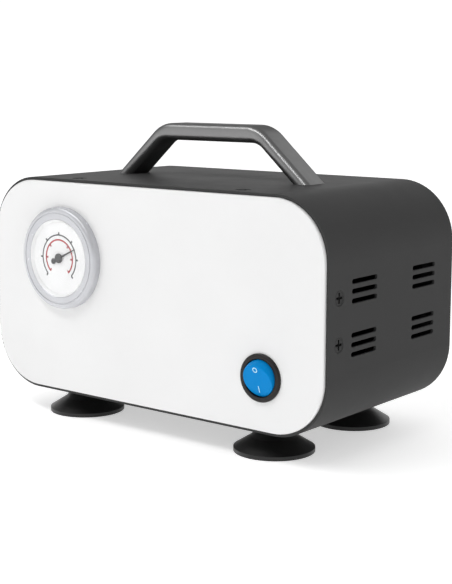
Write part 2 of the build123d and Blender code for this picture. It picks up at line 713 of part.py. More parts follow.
with BuildPart() as gauge_bourdon_tube:
    with BuildSketch(facing_front(BOURDON_Y)):
        with Locations(GAUGE_SPOT):
            Circle(BOURDON_R + BOURDON_T / 2)
            Circle(BOURDON_R - BOURDON_T / 2, mode=Mode.SUBTRACT)
        with Locations((GAUGE_X + BOURDON_GAP_X, GAUGE_Z)):
            Rectangle(2 * BOURDON_R, 2 * BOURDON_R, align=(Align.MIN, Align.MAX), mode=Mode.SUBTRACT)
        with Locations((GAUGE_X, GAUGE_Z - GAUGE_STEM_R)):
            Rectangle(BOURDON_FOOT_W, BOURDON_R - GAUGE_STEM_R, align=(Align.CENTER, Align.MAX))
    extrude(amount=-BOURDON_W)
finish(gauge_bourdon_tube, "gauge_bourdon_tube")

# ---------------------------------------------------------------- rocker switch
SWITCH_SPOT = (SWITCH_X, SWITCH_Z)
BEZEL_FACE = PANEL_FRONT - SWITCH_BEZEL_T
PIVOT_Y = BEZEL_FACE + ROCKER_DEPTH
WELL_FLOOR = PIVOT_Y + ROCKER_BACK * cos(radians(ROCKER_TILT)) + ROCKER_R * sin(radians(ROCKER_TILT))

with BuildPart() as switch_body:
    with BuildSketch(facing_front(PANEL_FRONT)):
        with Locations(SWITCH_SPOT):
            Circle(SWITCH_BEZEL_R)
    extrude(amount=SWITCH_BEZEL_T)
    fillet(switch_body.faces().sort_by(Axis.Y)[0].edges(), SWITCH_BEZEL_EASE)
    with BuildSketch(facing_front(PANEL_FRONT)):
        with Locations(SWITCH_SPOT):
            Circle(SWITCH_BODY_R)
    extrude(amount=-SWITCH_BODY_L)
    with BuildSketch(facing_front(BEZEL_FACE)):
        with Locations(SWITCH_SPOT):
            Circle(WELL_R)
    extrude(amount=BEZEL_FACE - WELL_FLOOR, mode=Mode.SUBTRACT)
    with Locations((SWITCH_X, PIVOT_Y, SWITCH_Z)):
        Cylinder(ROCKER_PIN_R + RUNNING_GAP, ROCKER_PIN_SPAN + 2 * FIT_GAP, rotation=SIDEWAYS,
                 mode=Mode.SUBTRACT)
finish(switch_body, "switch_body")

# The rocker is a ball cut flat in front and behind. At rest it is tipped with its upper end out.
with BuildPart() as switch_rocker:
    with BuildSketch(facing_front(PIVOT_Y)):
        with Locations(SWITCH_SPOT):
            Circle(ROCKER_R)
            Rectangle(ROCKER_PIN_SPAN, 2 * ROCKER_PIN_R)
            Rectangle(2 * SWITCH_BODY_R, SWITCH_BODY_R, align=(Align.CENTER, Align.MAX), mode=Mode.SUBTRACT)
    revolve(axis=Axis((SWITCH_X, PIVOT_Y, SWITCH_Z), (1, 0, 0)))
    with BuildSketch(across(SWITCH_X - SWITCH_BODY_R)):
        with Locations(Location((PIVOT_Y, SWITCH_Z, 0), (0, 0, ROCKER_TILT))):
            Polygon(
                (-ROCKER_FACE, -SWITCH_BODY_R),
                (ROCKER_BACK, -SWITCH_BODY_R),
                (ROCKER_BACK, SWITCH_BODY_R),
                (-ROCKER_FACE, SWITCH_BODY_R),
                align=None,
            )
    extrude(amount=2 * SWITCH_BODY_R, mode=Mode.INTERSECT)
    flats = switch_rocker.faces().filter_by(GeomType.PLANE).filter_by(lambda f: f.area > ROCKER_R ** 2)
    fillet(flats.sort_by(Axis.Y)[0].edges(), ROCKER_EDGE_R)
finish(switch_rocker, "switch_rocker")

TERMINAL_Y = PANEL_FRONT + SWITCH_BODY_L
with BuildPart() as switch_terminals:
    with Locations(*[(SWITCH_X + i * TERMINAL_PITCH, TERMINAL_Y, SWITCH_Z) for i in (-1, 0, 1)]):
        Box(*TERMINAL_SIZE, align=(Align.CENTER, Align.MIN, Align.CENTER))
finish(switch_terminals, "switch_terminals")

# ---------------------------------------------------------------- mains inlet and fuse
INLET_SPOT = (INLET_X, INLET_Z)
INLET_FACE = REAR_FACE + INLET_FLANGE_T
INLET_BACK = REAR_FACE - INLET_BODY_L
CAVITY_Z = INLET_Z + CAVITY_DZ
CAVITY_FLOOR = INLET_FACE - CAVITY_DEPTH
DRAWER_Z = INLET_Z + DRAWER_DZ
DRAWER_FRONT = INLET_FACE - DRAWER_L
PIN_OFFSETS = ((-BLADE_DX, -BLADE_DZ), (0, BLADE_DZ), (BLADE_DX, -BLADE_DZ))
PIN_SPOTS = [(INLET_X + dx, CAVITY_FLOOR, CAVITY_Z + dz) for dx, dz in PIN_OFFSETS]
TAB_SIZE = (BLADE_W / 2, TAB_L + CAVITY_FLOOR - INLET_BACK, BLADE_H)
TAB_ALIGN = (Align.CENTER, Align.MAX, Align.CENTER)

with BuildPart() as power_inlet:
    with BuildSketch(facing_front(INLET_FACE)):
        with Locations(INLET_SPOT):
            RectangleRounded(INLET_FLANGE_W, INLET_FLANGE_H, INLET_CORNER_R)
    extrude(amount=INLET_FLANGE_T)
    fillet(power_inlet.faces().sort_by(Axis.Y)[-1].edges(), INLET_EASE)
    with BuildSketch(facing_front(REAR_FACE)):
        with Locations(INLET_SPOT):
            Rectangle(INLET_BODY_W, INLET_BODY_H)
    extrude(amount=INLET_BODY_L)
    with BuildSketch(facing_front(INLET_FACE)) as mouth:
        with Locations((INLET_X, CAVITY_Z)):
            Rectangle(CAVITY_W, CAVITY_H)
        chamfer(mouth.vertices().group_by(Axis.Y)[-1], CAVITY_CHAMFER)
    extrude(amount=CAVITY_DEPTH, mode=Mode.SUBTRACT)
    with BuildSketch(facing_front(INLET_FACE)):
        with Locations((INLET_X, DRAWER_Z)):
            Rectangle(DRAWER_W + 2 * DRAWER_GAP, DRAWER_H + 2 * DRAWER_GAP)
    extrude(amount=DRAWER_L + DRAWER_GAP, mode=Mode.SUBTRACT)
    with Locations(*PIN_SPOTS):
        Box(*TAB_SIZE, align=TAB_ALIGN, mode=Mode.SUBTRACT)
finish(power_inlet, "power_inlet")

with BuildPart() as power_inlet_pins:
    with Locations(*PIN_SPOTS):
        Box(BLADE_W, BLADE_L, BLADE_H, align=(Align.CENTER, Align.MIN, Align.CENTER))
        Box(*TAB_SIZE, align=TAB_ALIGN)
    ends = power_inlet_pins.faces().filter_by(Axis.Y)
    tips = ends.filter_by(lambda f: f.center().Y > CAVITY_FLOOR + BLADE_EASE)
    chamfer(tips.edges(), BLADE_EASE)
finish(power_inlet_pins, "power_inlet_pins")

with BuildPart() as fuse_drawer:
    with BuildSketch(facing_front(INLET_FACE)):
        with Locations((INLET_X, DRAWER_Z)):
            Rectangle(DRAWER_W, DRAWER_H)
    extrude(amount=DRAWER_L)
    with BuildSketch(facing_front(INLET_FACE)):
        with Locations((INLET_X, DRAWER_Z)):
            RectangleRounded(DRAWER_PULL_W, DRAWER_PULL_H, DRAWER_PULL_R)
    extrude(amount=-DRAWER_PULL_T)
    with Locations((INLET_X, DRAWER_FRONT + DRAWER_WALL, DRAWER_Z + DRAWER_H / 2)):
        Box(FUSE_L + 2 * FUSE_GAP, 2 * (FUSE_R + FUSE_GAP), DRAWER_H - DRAWER_FLOOR_T,
            align=(Align.CENTER, Align.MIN, Align.MAX), mode=Mode.SUBTRACT)
finish(fuse_drawer, "fuse_drawer")

FUSE_Y = DRAWER_FRONT + DRAWER_WALL + FUSE_R + FUSE_GAP
FUSE_Z = DRAWER_Z - DRAWER_H / 2 + DRAWER_FLOOR_T + FUSE_R + RUNNING_GAP
with BuildPart() as fuse:
    with Locations((INLET_X, FUSE_Y, FUSE_Z)):
        Cylinder(FUSE_R - FUSE_GAP, FUSE_L, rotation=SIDEWAYS)
    for sx in (-1, 1):
        with Locations((INLET_X + sx * (FUSE_L - FUSE_CAP_L) / 2, FUSE_Y, FUSE_Z)):
            Cylinder(FUSE_R, FUSE_CAP_L, rotation=SIDEWAYS)
finish(fuse, "fuse")

# ---------------------------------------------------------------- hose nozzles and plumbing
HOSE_END = REAR_INNER - HOSE_SETBACK


def nozzle(x):
    """A hose nipple through the rear panel: grooved land outside, hexagon, thread, barb inside."""
    with BuildPart() as nipple:
        with Locations(Plane(origin=(x, NOZZLE_TIP, NOZZLE_Z), z_dir=(0, 1, 0))):
            Cylinder(NOZZLE_R, NOZZLE_TIP - REAR_FACE, align=FROM_TOP)
        chamfer(nipple.faces().sort_by(Axis.Y)[-1].edges(), NOZZLE_EASE)
        for step in range(NOZZLE_GROOVES):
            groove_y = NOZZLE_TIP - NOZZLE_GROOVE_PITCH * (step + 1)
            with BuildSketch(Plane(origin=(x, groove_y, NOZZLE_Z), z_dir=(0, 1, 0))):
                Circle(NOZZLE_R + 1)
                Circle(NOZZLE_R - NOZZLE_GROOVE_DEPTH, mode=Mode.SUBTRACT)
            extrude(amount=-NOZZLE_GROOVE_W, mode=Mode.SUBTRACT)
        with BuildSketch(facing_front(REAR_FACE)):
            with Locations((x, NOZZLE_Z)):
                RegularPolygon(NOZZLE_HEX / 2, 6, major_radius=False)
        extrude(amount=-(NOZZLE_TIP - REAR_FACE - NOZZLE_LAND))
        with Locations(Plane(origin=(x, REAR_FACE, NOZZLE_Z), z_dir=(0, 1, 0))):
            Cylinder(NOZZLE_THREAD_R, PANEL_T + NUT_T, align=FROM_TOP)
            Cylinder(BARB_R, REAR_FACE - NOZZLE_BARB_TIP, align=FROM_TOP)
        with Locations(Plane(origin=(x, NOZZLE_TIP, NOZZLE_Z), z_dir=(0, 1, 0))):
            Cylinder(NOZZLE_BORE_R, NOZZLE_TIP - NOZZLE_BARB_TIP, align=FROM_TOP, mode=Mode.SUBTRACT)
    return nipple


finish(nozzle(INLET_NOZZLE_X), "inlet_nozzle")
finish(nozzle(EXHAUST_NOZZLE_X), "exhaust_nozzle")

with BuildPart() as nozzle_nuts:
    with BuildSketch(facing_front(REAR_INNER)):
        with Locations((INLET_NOZZLE_X, NOZZLE_Z), (EXHAUST_NOZZLE_X, NOZZLE_Z)):
            RegularPolygon(NOZZLE_HEX / 2, 6, major_radius=False)
            Circle(NOZZLE_THREAD_R, mode=Mode.SUBTRACT)
    extrude(amount=NUT_T)
finish(nozzle_nuts, "nozzle_nuts")


def port_fitting(x, y, front_tip, rear_tip):
    """A brass fitting screwed into the port block, with a barb to the back and one to the front."""
    with BuildPart() as fitting:
        with Locations((x, y, PORT_BLOCK_TOP)):
            Cylinder(PORT_R - HOLE_CLEAR, PORT_THREAD_L, align=FROM_TOP)
            Cylinder(FITTING_R, NOZZLE_Z - PORT_BLOCK_TOP + FITTING_R, align=FROM_BASE)
            Cylinder(NOZZLE_BORE_R, PORT_THREAD_L, align=FROM_TOP, mode=Mode.SUBTRACT)
            Cylinder(NOZZLE_BORE_R, NOZZLE_Z - PORT_BLOCK_TOP, align=FROM_BASE, mode=Mode.SUBTRACT)
        with Locations(Plane(origin=(x, rear_tip, NOZZLE_Z), z_dir=(0, 1, 0))):
            Cylinder(BARB_R, rear_tip - front_tip, align=FROM_TOP)
            Cylinder(NOZZLE_BORE_R, rear_tip - y, align=FROM_TOP, mode=Mode.SUBTRACT)
        if front_tip < y:
            with Locations(Plane(origin=(x, front_tip, NOZZLE_Z), z_dir=(0, -1, 0))):
                Cylinder(NOZZLE_BORE_R, y - front_tip, align=FROM_TOP, mode=Mode.SUBTRACT)
    return fitting


finish(port_fitting(INLET_NOZZLE_X, INLET_PORT_Y, TEE_FRONT, TEE_REAR), "inlet_tee")
finish(port_fitting(EXHAUST_NOZZLE_X, EXHAUST_PORT_Y, EXHAUST_PORT_Y, ELBOW_REAR), "exhaust_elbow")


def straight_hose(x, y_from, y_to):
    """A straight length of silicone hose pushed over a barb at each end."""
    with BuildPart() as hose:
        with BuildSketch(facing_front(y_from)):
            with Locations((x, NOZZLE_Z)):
                Circle(HOSE_R)
                Circle(BARB_R, mode=Mode.SUBTRACT)
        extrude(amount=-(y_to - y_from))
    return hose


finish(straight_hose(INLET_NOZZLE_X, INLET_PORT_Y + FITTING_R, HOSE_END), "suction_hose")
finish(straight_hose(EXHAUST_NOZZLE_X, EXHAUST_PORT_Y + FITTING_R, HOSE_END), "exhaust_hose")

# The gauge's hose bends down from the tee's front barb to the barb on top of the gauge's elbow.
GAUGE_HOSE_START = INLET_PORT_Y - FITTING_R
GAUGE_HOSE_FOOT = GAUGE_Z + GAUGE_COLLAR_H
with BuildPart() as gauge_hose:
    with BuildLine():
        FilletPolyline(
            (GAUGE_X, GAUGE_HOSE_START, NOZZLE_Z),
            (GAUGE_X, GAUGE_HOSE_START - HOSE_BEND_Y[0], NOZZLE_Z),
            (GAUGE_X, GAUGE_HOSE_START - HOSE_BEND_Y[1], NOZZLE_Z - HOSE_BEND_Z[0]),
            (GAUGE_X, GAUGE_ELBOW_Y, NOZZLE_Z - HOSE_BEND_Z[1]),
            (GAUGE_X, GAUGE_ELBOW_Y, GAUGE_HOSE_FOOT),
            radius=GAUGE_HOSE_RADII,
        )
    with BuildSketch(facing_front(GAUGE_HOSE_START)):
        with Locations((GAUGE_X, NOZZLE_Z)):
            Circle(HOSE_R)
            Circle(BARB_R, mode=Mode.SUBTRACT)
    sweep()
finish(gauge_hose, "gauge_hose")

# ---------------------------------------------------------------- pump head
AXIS_SPOT = (AXIS_Y, AXIS_Z)
PUMP_BODY_L = PUMP_X[1] - PUMP_X[0]
FRONT_COVER_X = PUMP_X[0] - FRONT_COVER_T
PUMP_BEARING_X = FRONT_COVER_X - BEARING_T + BEARING_SUNK
REAR_COVER_X = PUMP_X[1] + REAR_COVER_T


def turned(x, radius, length, mode=Mode.ADD):
    """A cylinder on the shaft line, from x to the right."""
    with Locations(Plane(origin=(x, AXIS_Y, AXIS_Z), z_dir=(1, 0, 0))):
        Cylinder(radius, length, align=FROM_BASE, mode=mode)


def pump_screw_planes(x):
    """Seats of the long screws that clamp the pump's covers, heads to the left."""
    seats = []
    for i in range(PUMP_SCREW_COUNT):
        angle = radians(360 / PUMP_SCREW_COUNT * (i + 0.5))
        y = AXIS_Y + PUMP_SCREW_PCR * cos(angle)
        z = AXIS_Z + PUMP_SCREW_PCR * sin(angle)
        seats.append(Plane(origin=(x, y, z), z_dir=(-1, 0, 0)))
    return seats


with BuildPart() as pump_cylinder:
    turned(PUMP_X[0], PUMP_R, PUMP_BODY_L)
    with BuildSketch(across(PUMP_X[0])):
        with Locations((PORT_BLOCK_Y[0], AXIS_Z)):
            Rectangle(PORT_BLOCK_Y[1] - PORT_BLOCK_Y[0], PORT_BLOCK_TOP - AXIS_Z,
                      align=(Align.MIN, Align.MIN))
    extrude(amount=PUMP_BODY_L)
    with BuildSketch(across(PUMP_X[0])):
        with Locations((AXIS_Y, AXIS_Z - ECCENTRICITY)):
            Circle(BORE_R)
    extrude(amount=PUMP_BODY_L, mode=Mode.SUBTRACT)
    holes(pump_screw_planes(PUMP_X[0]), M3_R + HOLE_CLEAR, PUMP_BODY_L)
    for x, y in ((INLET_NOZZLE_X, INLET_PORT_Y), (EXHAUST_NOZZLE_X, EXHAUST_PORT_Y)):
        with Locations((x, y, PORT_BLOCK_TOP)):
            Cylinder(PORT_R, PORT_DEPTH, align=FROM_TOP, mode=Mode.SUBTRACT)
finish(pump_cylinder, "pump_cylinder")

with BuildPart() as pump_front_cover:
    turned(FRONT_COVER_X, PUMP_R, FRONT_COVER_T)
    turned(PUMP_BEARING_X, BEARING_R + BEARING_SUNK, BEARING_T - BEARING_SUNK)
    turned(PUMP_BEARING_X, BEARING_R, BEARING_T, Mode.SUBTRACT)
    turned(FRONT_COVER_X, SHAFT_R + SHAFT_CLEAR, FRONT_COVER_T, Mode.SUBTRACT)
    holes(pump_screw_planes(FRONT_COVER_X), M3_R + HOLE_CLEAR, FRONT_COVER_T)
finish(pump_front_cover, "pump_front_cover")

with BuildPart() as pump_rear_cover:
    turned(PUMP_X[1], PUMP_R, REAR_COVER_T)
    turned(PUMP_X[1], SHAFT_R + RUNNING_GAP, REAR_COVER_T, Mode.SUBTRACT)
    turned(PUMP_X[1] + REAR_LIP_T, 2 * SHAFT_R, REAR_COVER_T, Mode.SUBTRACT)
    holes(pump_screw_planes(PUMP_X[1]), M3_R + HOLE_CLEAR, REAR_COVER_T - REAR_LIP_T)
finish(pump_rear_cover, "pump_rear_cover")

pump_screw_length = REAR_COVER_X - REAR_LIP_T - SCREW_END_GAP / 2 - FRONT_COVER_X
finish(pan_screws(pump_screw_planes(FRONT_COVER_X), *M3_PAN, pump_screw_length), "pump_screws")


def vane_slots(thickness, root, tip, length, x, mode):
    """Radial plates on the shaft line, one for each vane."""
    for i in range(VANE_COUNT):
        angle = radians(VANE_START + 360 / VANE_COUNT * i)
        middle = (root + tip) / 2
        spot = Plane(
            origin=(x, AXIS_Y + middle * cos(angle), AXIS_Z + middle * sin(angle)),
            x_dir=(0, cos(angle), sin(angle)),
            z_dir=(1, 0, 0),
        )
        with Locations(spot):
            Box(tip - root, thickness, length, align=FROM_BASE, mode=mode)


ROTOR_X = PUMP_X[0] + ROTOR_END_GAP
ROTOR_L = PUMP_BODY_L - 2 * ROTOR_END_GAP
with BuildPart() as pump_rotor:
    turned(ROTOR_X, ROTOR_R, ROTOR_L)
    turned(ROTOR_X, SHAFT_R, ROTOR_L, Mode.SUBTRACT)
    vane_slots(VANE_SLOT, VANE_ROOT, ROTOR_R + 1, ROTOR_L, ROTOR_X, Mode.SUBTRACT)
finish(pump_rotor, "pump_rotor")

with BuildPart() as vanes:
    vane_slots(VANE_T, VANE_ROOT + VANE_PLAY, ROTOR_R - VANE_PLAY, ROTOR_L, ROTOR_X, Mode.ADD)
finish(vanes, "vanes")

# ---------------------------------------------------------------- motor
MOTOR_L = MOTOR_X[1] - MOTOR_X[0]
STATOR_X = (MOTOR_X[0] + MOTOR_X[1] - STATOR_L) / 2
MOTOR_BORE_R = MOTOR_R - MOTOR_WALL

with BuildPart() as motor_housing:
    turned(MOTOR_X[0], MOTOR_R, MOTOR_L)
    turned(MOTOR_X[0], MOTOR_BORE_R, MOTOR_L, Mode.SUBTRACT)
finish(motor_housing, "motor_housing")


def end_bell(outer_x, inner_x):
    """A motor end cover: a disc with air slots, a spigot and a seat for the bearing."""
    seat_x = min(inner_x, inner_x + (inner_x - outer_x) / BELL_T * BEARING_T)
    with BuildPart() as bell:
        turned(min(outer_x, inner_x), MOTOR_R, BELL_T)
        turned(seat_x, BEARING_R + BEARING_SEAT_T, BEARING_T)
        turned(seat_x, BEARING_R, BEARING_T, Mode.SUBTRACT)
        turned(min(outer_x, inner_x), SHAFT_R + SHAFT_CLEAR, BELL_T, Mode.SUBTRACT)
        with Locations(Plane(origin=(min(outer_x, inner_x), AXIS_Y, AXIS_Z), z_dir=(1, 0, 0))):
            with PolarLocations(BELL_SLOT_PCR, BELL_SLOTS):
                Box(*BELL_SLOT, BELL_T, align=FROM_BASE, mode=Mode.SUBTRACT)
    return bell


finish(end_bell(MOTOR_X[0] - BELL_T, MOTOR_X[0]), "motor_front_bell")
finish(end_bell(MOTOR_X[1] + BELL_T, MOTOR_X[1]), "motor_rear_bell")

with BuildPart() as shaft_bearings:
    for x in (PUMP_BEARING_X, MOTOR_X[0], MOTOR_X[1] - BEARING_T):
        turned(x, BEARING_R, BEARING_T)
        turned(x, SHAFT_R + RUNNING_GAP, BEARING_T, Mode.SUBTRACT)
        for groove_x in (x, x + BEARING_T - RACE_STEP):
            turned(groove_x, BEARING_R - OUTER_RACE_T, RACE_STEP, Mode.SUBTRACT)
            turned(groove_x, SHAFT_R + INNER_RACE_T, RACE_STEP)
            turned(groove_x, SHAFT_R + RUNNING_GAP, RACE_STEP, Mode.SUBTRACT)
finish(shaft_bearings, "shaft_bearings")

with BuildPart() as motor_stator:
    turned(STATOR_X, MOTOR_BORE_R, STATOR_L)
    turned(STATOR_X, STATOR_BORE_R, STATOR_L, Mode.SUBTRACT)
    with Locations(Plane(origin=(STATOR_X, AXIS_Y, AXIS_Z), z_dir=(1, 0, 0))):
        with PolarLocations(STATOR_SLOT_PCR, STATOR_SLOTS):
            Box(*STATOR_SLOT, STATOR_L, align=FROM_BASE, mode=Mode.SUBTRACT)
        with PolarLocations(STATOR_BORE_R + 1, STATOR_SLOTS):
            Box(*STATOR_MOUTH, STATOR_L, align=FROM_BASE, mode=Mode.SUBTRACT)
finish(motor_stator, "motor_stator")

with BuildPart() as motor_windings:
    for x in (STATOR_X - WINDING_L, STATOR_X + STATOR_L):
        with BuildSketch(across(x)):
            with Locations(AXIS_SPOT):
                Circle(WINDING_RADII[1])
                Circle(WINDING_RADII[0], mode=Mode.SUBTRACT)
        extrude(amount=WINDING_L)
    outer_ends = motor_windings.faces().filter_by(Axis.X).sort_by(Axis.X)
    fillet(outer_ends[0].edges() + outer_ends[-1].edges(), WINDING_EASE)
finish(motor_windings, "motor_windings")

with BuildPart() as motor_rotor:
    turned(STATOR_X, MOTOR_ROTOR_R, STATOR_L)
    for x in (STATOR_X - END_RING_T, STATOR_X + STATOR_L):
        turned(x, MOTOR_ROTOR_R - END_RING_STEP, END_RING_T)
    turned(STATOR_X - END_RING_T, SHAFT_R, STATOR_L + 2 * END_RING_T, Mode.SUBTRACT)
finish(motor_rotor, "motor_rotor")

with BuildPart() as drive_shaft:
    turned(SHAFT_X[0], SHAFT_R, SHAFT_X[1] - SHAFT_X[0])
    chamfer(drive_shaft.faces().filter_by(Axis.X).edges(), SHAFT_EASE)
finish(drive_shaft, "drive_shaft")

with BuildPart() as cooling_fan:
    turned(FAN_X - FAN_HUB_L / 2, FAN_HUB_R, FAN_HUB_L)
    blade_span = FAN_R - FAN_HUB_R + 1
    for i in range(FAN_BLADES):
        angle = radians(360 / FAN_BLADES * i)
        radial = Vector(0, cos(angle), sin(angle))
        tangent = Vector(0, -sin(angle), cos(angle))
        normal = Vector(1, 0, 0) * cos(radians(FAN_PITCH)) + tangent * sin(radians(FAN_PITCH))
        middle = Vector(FAN_X, AXIS_Y, AXIS_Z) + radial * (FAN_R - blade_span / 2)
        with Locations(Plane(origin=middle, x_dir=radial, z_dir=normal)):
            Box(blade_span, FAN_CHORD, FAN_BLADE_T)
    turned(FAN_X - FAN_HUB_L / 2, SHAFT_R, FAN_HUB_L, Mode.SUBTRACT)
finish(cooling_fan, "cooling_fan")

# ---------------------------------------------------------------- cradle, mounts and capacitor
with BuildPart() as rubber_mounts:
    with Locations(*[(x, y, BASE_TOP) for x, y in MOUNT_SPOTS]):
        Cylinder(MOUNT_R, MOUNT_H, align=FROM_BASE)
        Cylinder(MOUNT_BORE_R, MOUNT_H, align=FROM_BASE, mode=Mode.SUBTRACT)
finish(rubber_mounts, "rubber_mounts")

STRAP_SPAN = 2 * (MOTOR_R + STRAP_T)
CRADLE_TOP = CRADLE_Z + CRADLE_T
with BuildPart() as motor_cradle:
    with BuildSketch(Plane.XY.offset(CRADLE_Z)):
        with Locations(((CRADLE_X[0] + CRADLE_X[1]) / 2, AXIS_Y)):
            RectangleRounded(CRADLE_X[1] - CRADLE_X[0], CRADLE_W, SHEET_CORNER_R)
        with Locations(*[(x, AXIS_Y) for x in SADDLE_XS]):
            Rectangle(SADDLE_T, STRAP_SPAN)
    extrude(amount=CRADLE_T)
    with Locations(*[(x, AXIS_Y, CRADLE_TOP) for x in (PUMP_SADDLE_X, *SADDLE_XS)]):
        Box(SADDLE_T, SADDLE_W, SADDLE_H, align=FROM_BASE)
    turned(PUMP_X[0], PUMP_R, PUMP_BODY_L, Mode.SUBTRACT)
    turned(MOTOR_X[0], MOTOR_R, MOTOR_L, Mode.SUBTRACT)
finish(motor_cradle, "motor_cradle")

with BuildPart() as motor_straps:
    for x in SADDLE_XS:
        with BuildSketch(across(x - SADDLE_T / 2)):
            with Locations(AXIS_SPOT):
                Circle(MOTOR_R + STRAP_T)
                Rectangle(STRAP_SPAN, AXIS_Z - CRADLE_TOP, align=(Align.CENTER, Align.MAX))
                Circle(MOTOR_R, mode=Mode.SUBTRACT)
                Rectangle(2 * MOTOR_R, AXIS_Z - CRADLE_Z, align=(Align.CENTER, Align.MAX),
                          mode=Mode.SUBTRACT)
        extrude(amount=SADDLE_T)
finish(motor_straps, "motor_straps")

with BuildPart() as capacitor:
    with Locations(Plane(origin=(CAPACITOR_X[0], CAPACITOR_Y, CAPACITOR_Z), z_dir=(1, 0, 0))):
        Cylinder(CAPACITOR_R, CAPACITOR_X[1] - CAPACITOR_X[0], align=FROM_BASE)
    fillet(capacitor.faces().sort_by(Axis.X)[0].edges(), CAPACITOR_EASE)
    with Locations(*[(CAPACITOR_X[1], CAPACITOR_Y + sy * CAPACITOR_TAB_DY, CAPACITOR_Z) for sy in (-1, 1)]):
        Box(*CAPACITOR_TAB, align=(Align.MIN, Align.CENTER, Align.CENTER))
finish(capacitor, "run_capacitor")

with BuildPart() as capacitor_clip:
    with BuildSketch(across(CLIP_X)):
        with Locations((CAPACITOR_Y, CAPACITOR_Z)):
            Circle(CAPACITOR_R + STRAP_T)
        with Locations((BASE_Y[0], BASE_TOP)):
            Rectangle(CLIP_POST_W, CAPACITOR_Z - BASE_TOP, align=(Align.MIN, Align.MIN))
            Rectangle(*CLIP_FOOT, align=(Align.MIN, Align.MIN))
        with Locations((CAPACITOR_Y, CAPACITOR_Z)):
            Circle(CAPACITOR_R, mode=Mode.SUBTRACT)
    extrude(amount=SADDLE_T)
finish(capacitor_clip, "capacitor_clip")
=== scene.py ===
import json
from math import cos, pi, radians, sin, sqrt, tan

import bmesh
import bpy
from mathutils import Matrix, Vector


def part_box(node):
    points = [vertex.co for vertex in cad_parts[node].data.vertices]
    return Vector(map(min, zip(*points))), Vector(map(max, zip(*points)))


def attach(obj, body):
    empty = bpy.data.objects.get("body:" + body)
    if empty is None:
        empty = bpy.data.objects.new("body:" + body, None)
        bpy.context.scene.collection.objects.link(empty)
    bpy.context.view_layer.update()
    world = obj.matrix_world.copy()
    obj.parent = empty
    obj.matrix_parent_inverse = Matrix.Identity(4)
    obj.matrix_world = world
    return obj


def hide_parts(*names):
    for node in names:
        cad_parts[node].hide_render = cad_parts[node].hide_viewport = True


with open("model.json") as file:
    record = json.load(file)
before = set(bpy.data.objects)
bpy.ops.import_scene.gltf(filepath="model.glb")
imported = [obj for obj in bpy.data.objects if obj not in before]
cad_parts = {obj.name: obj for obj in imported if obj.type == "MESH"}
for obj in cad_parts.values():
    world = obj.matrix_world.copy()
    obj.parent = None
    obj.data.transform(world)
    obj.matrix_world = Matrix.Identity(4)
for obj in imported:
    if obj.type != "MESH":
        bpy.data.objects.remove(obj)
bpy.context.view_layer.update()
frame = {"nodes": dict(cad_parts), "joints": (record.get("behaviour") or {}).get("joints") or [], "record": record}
nodes = frame["nodes"]
slot_of = {s["node"]: s["material_slot"] for s in frame["record"]["subparts"]}

MM = 0.001
UM = 0.001 * MM


# ------------------------------------------------------------------ shader helpers
RAMP_SOCKETS = ("From Min", "From Max", "To Min", "To Max")
# A Mix node has a set of sockets for each data type. These are its colour sockets.
MIX_A = 6
MIX_B = 7
MIX_RESULT = 2
EDGE_SAMPLES = 4
SOFT_SAMPLES = 6
# Most values of a noise texture lie in this range.
NOISE_LOW = 0.3
NOISE_HIGH = 0.7


def add_ramp(tree, value, low, high, to_low, to_high):
    """Map a socket's value from low..high to to_low..to_high."""
    made = tree.nodes.new("ShaderNodeMapRange")
    for key, number in zip(RAMP_SOCKETS, (low, high, to_low, to_high)):
        made.inputs[key].default_value = number
    tree.links.new(value, made.inputs["Value"])
    return made.outputs["Result"]


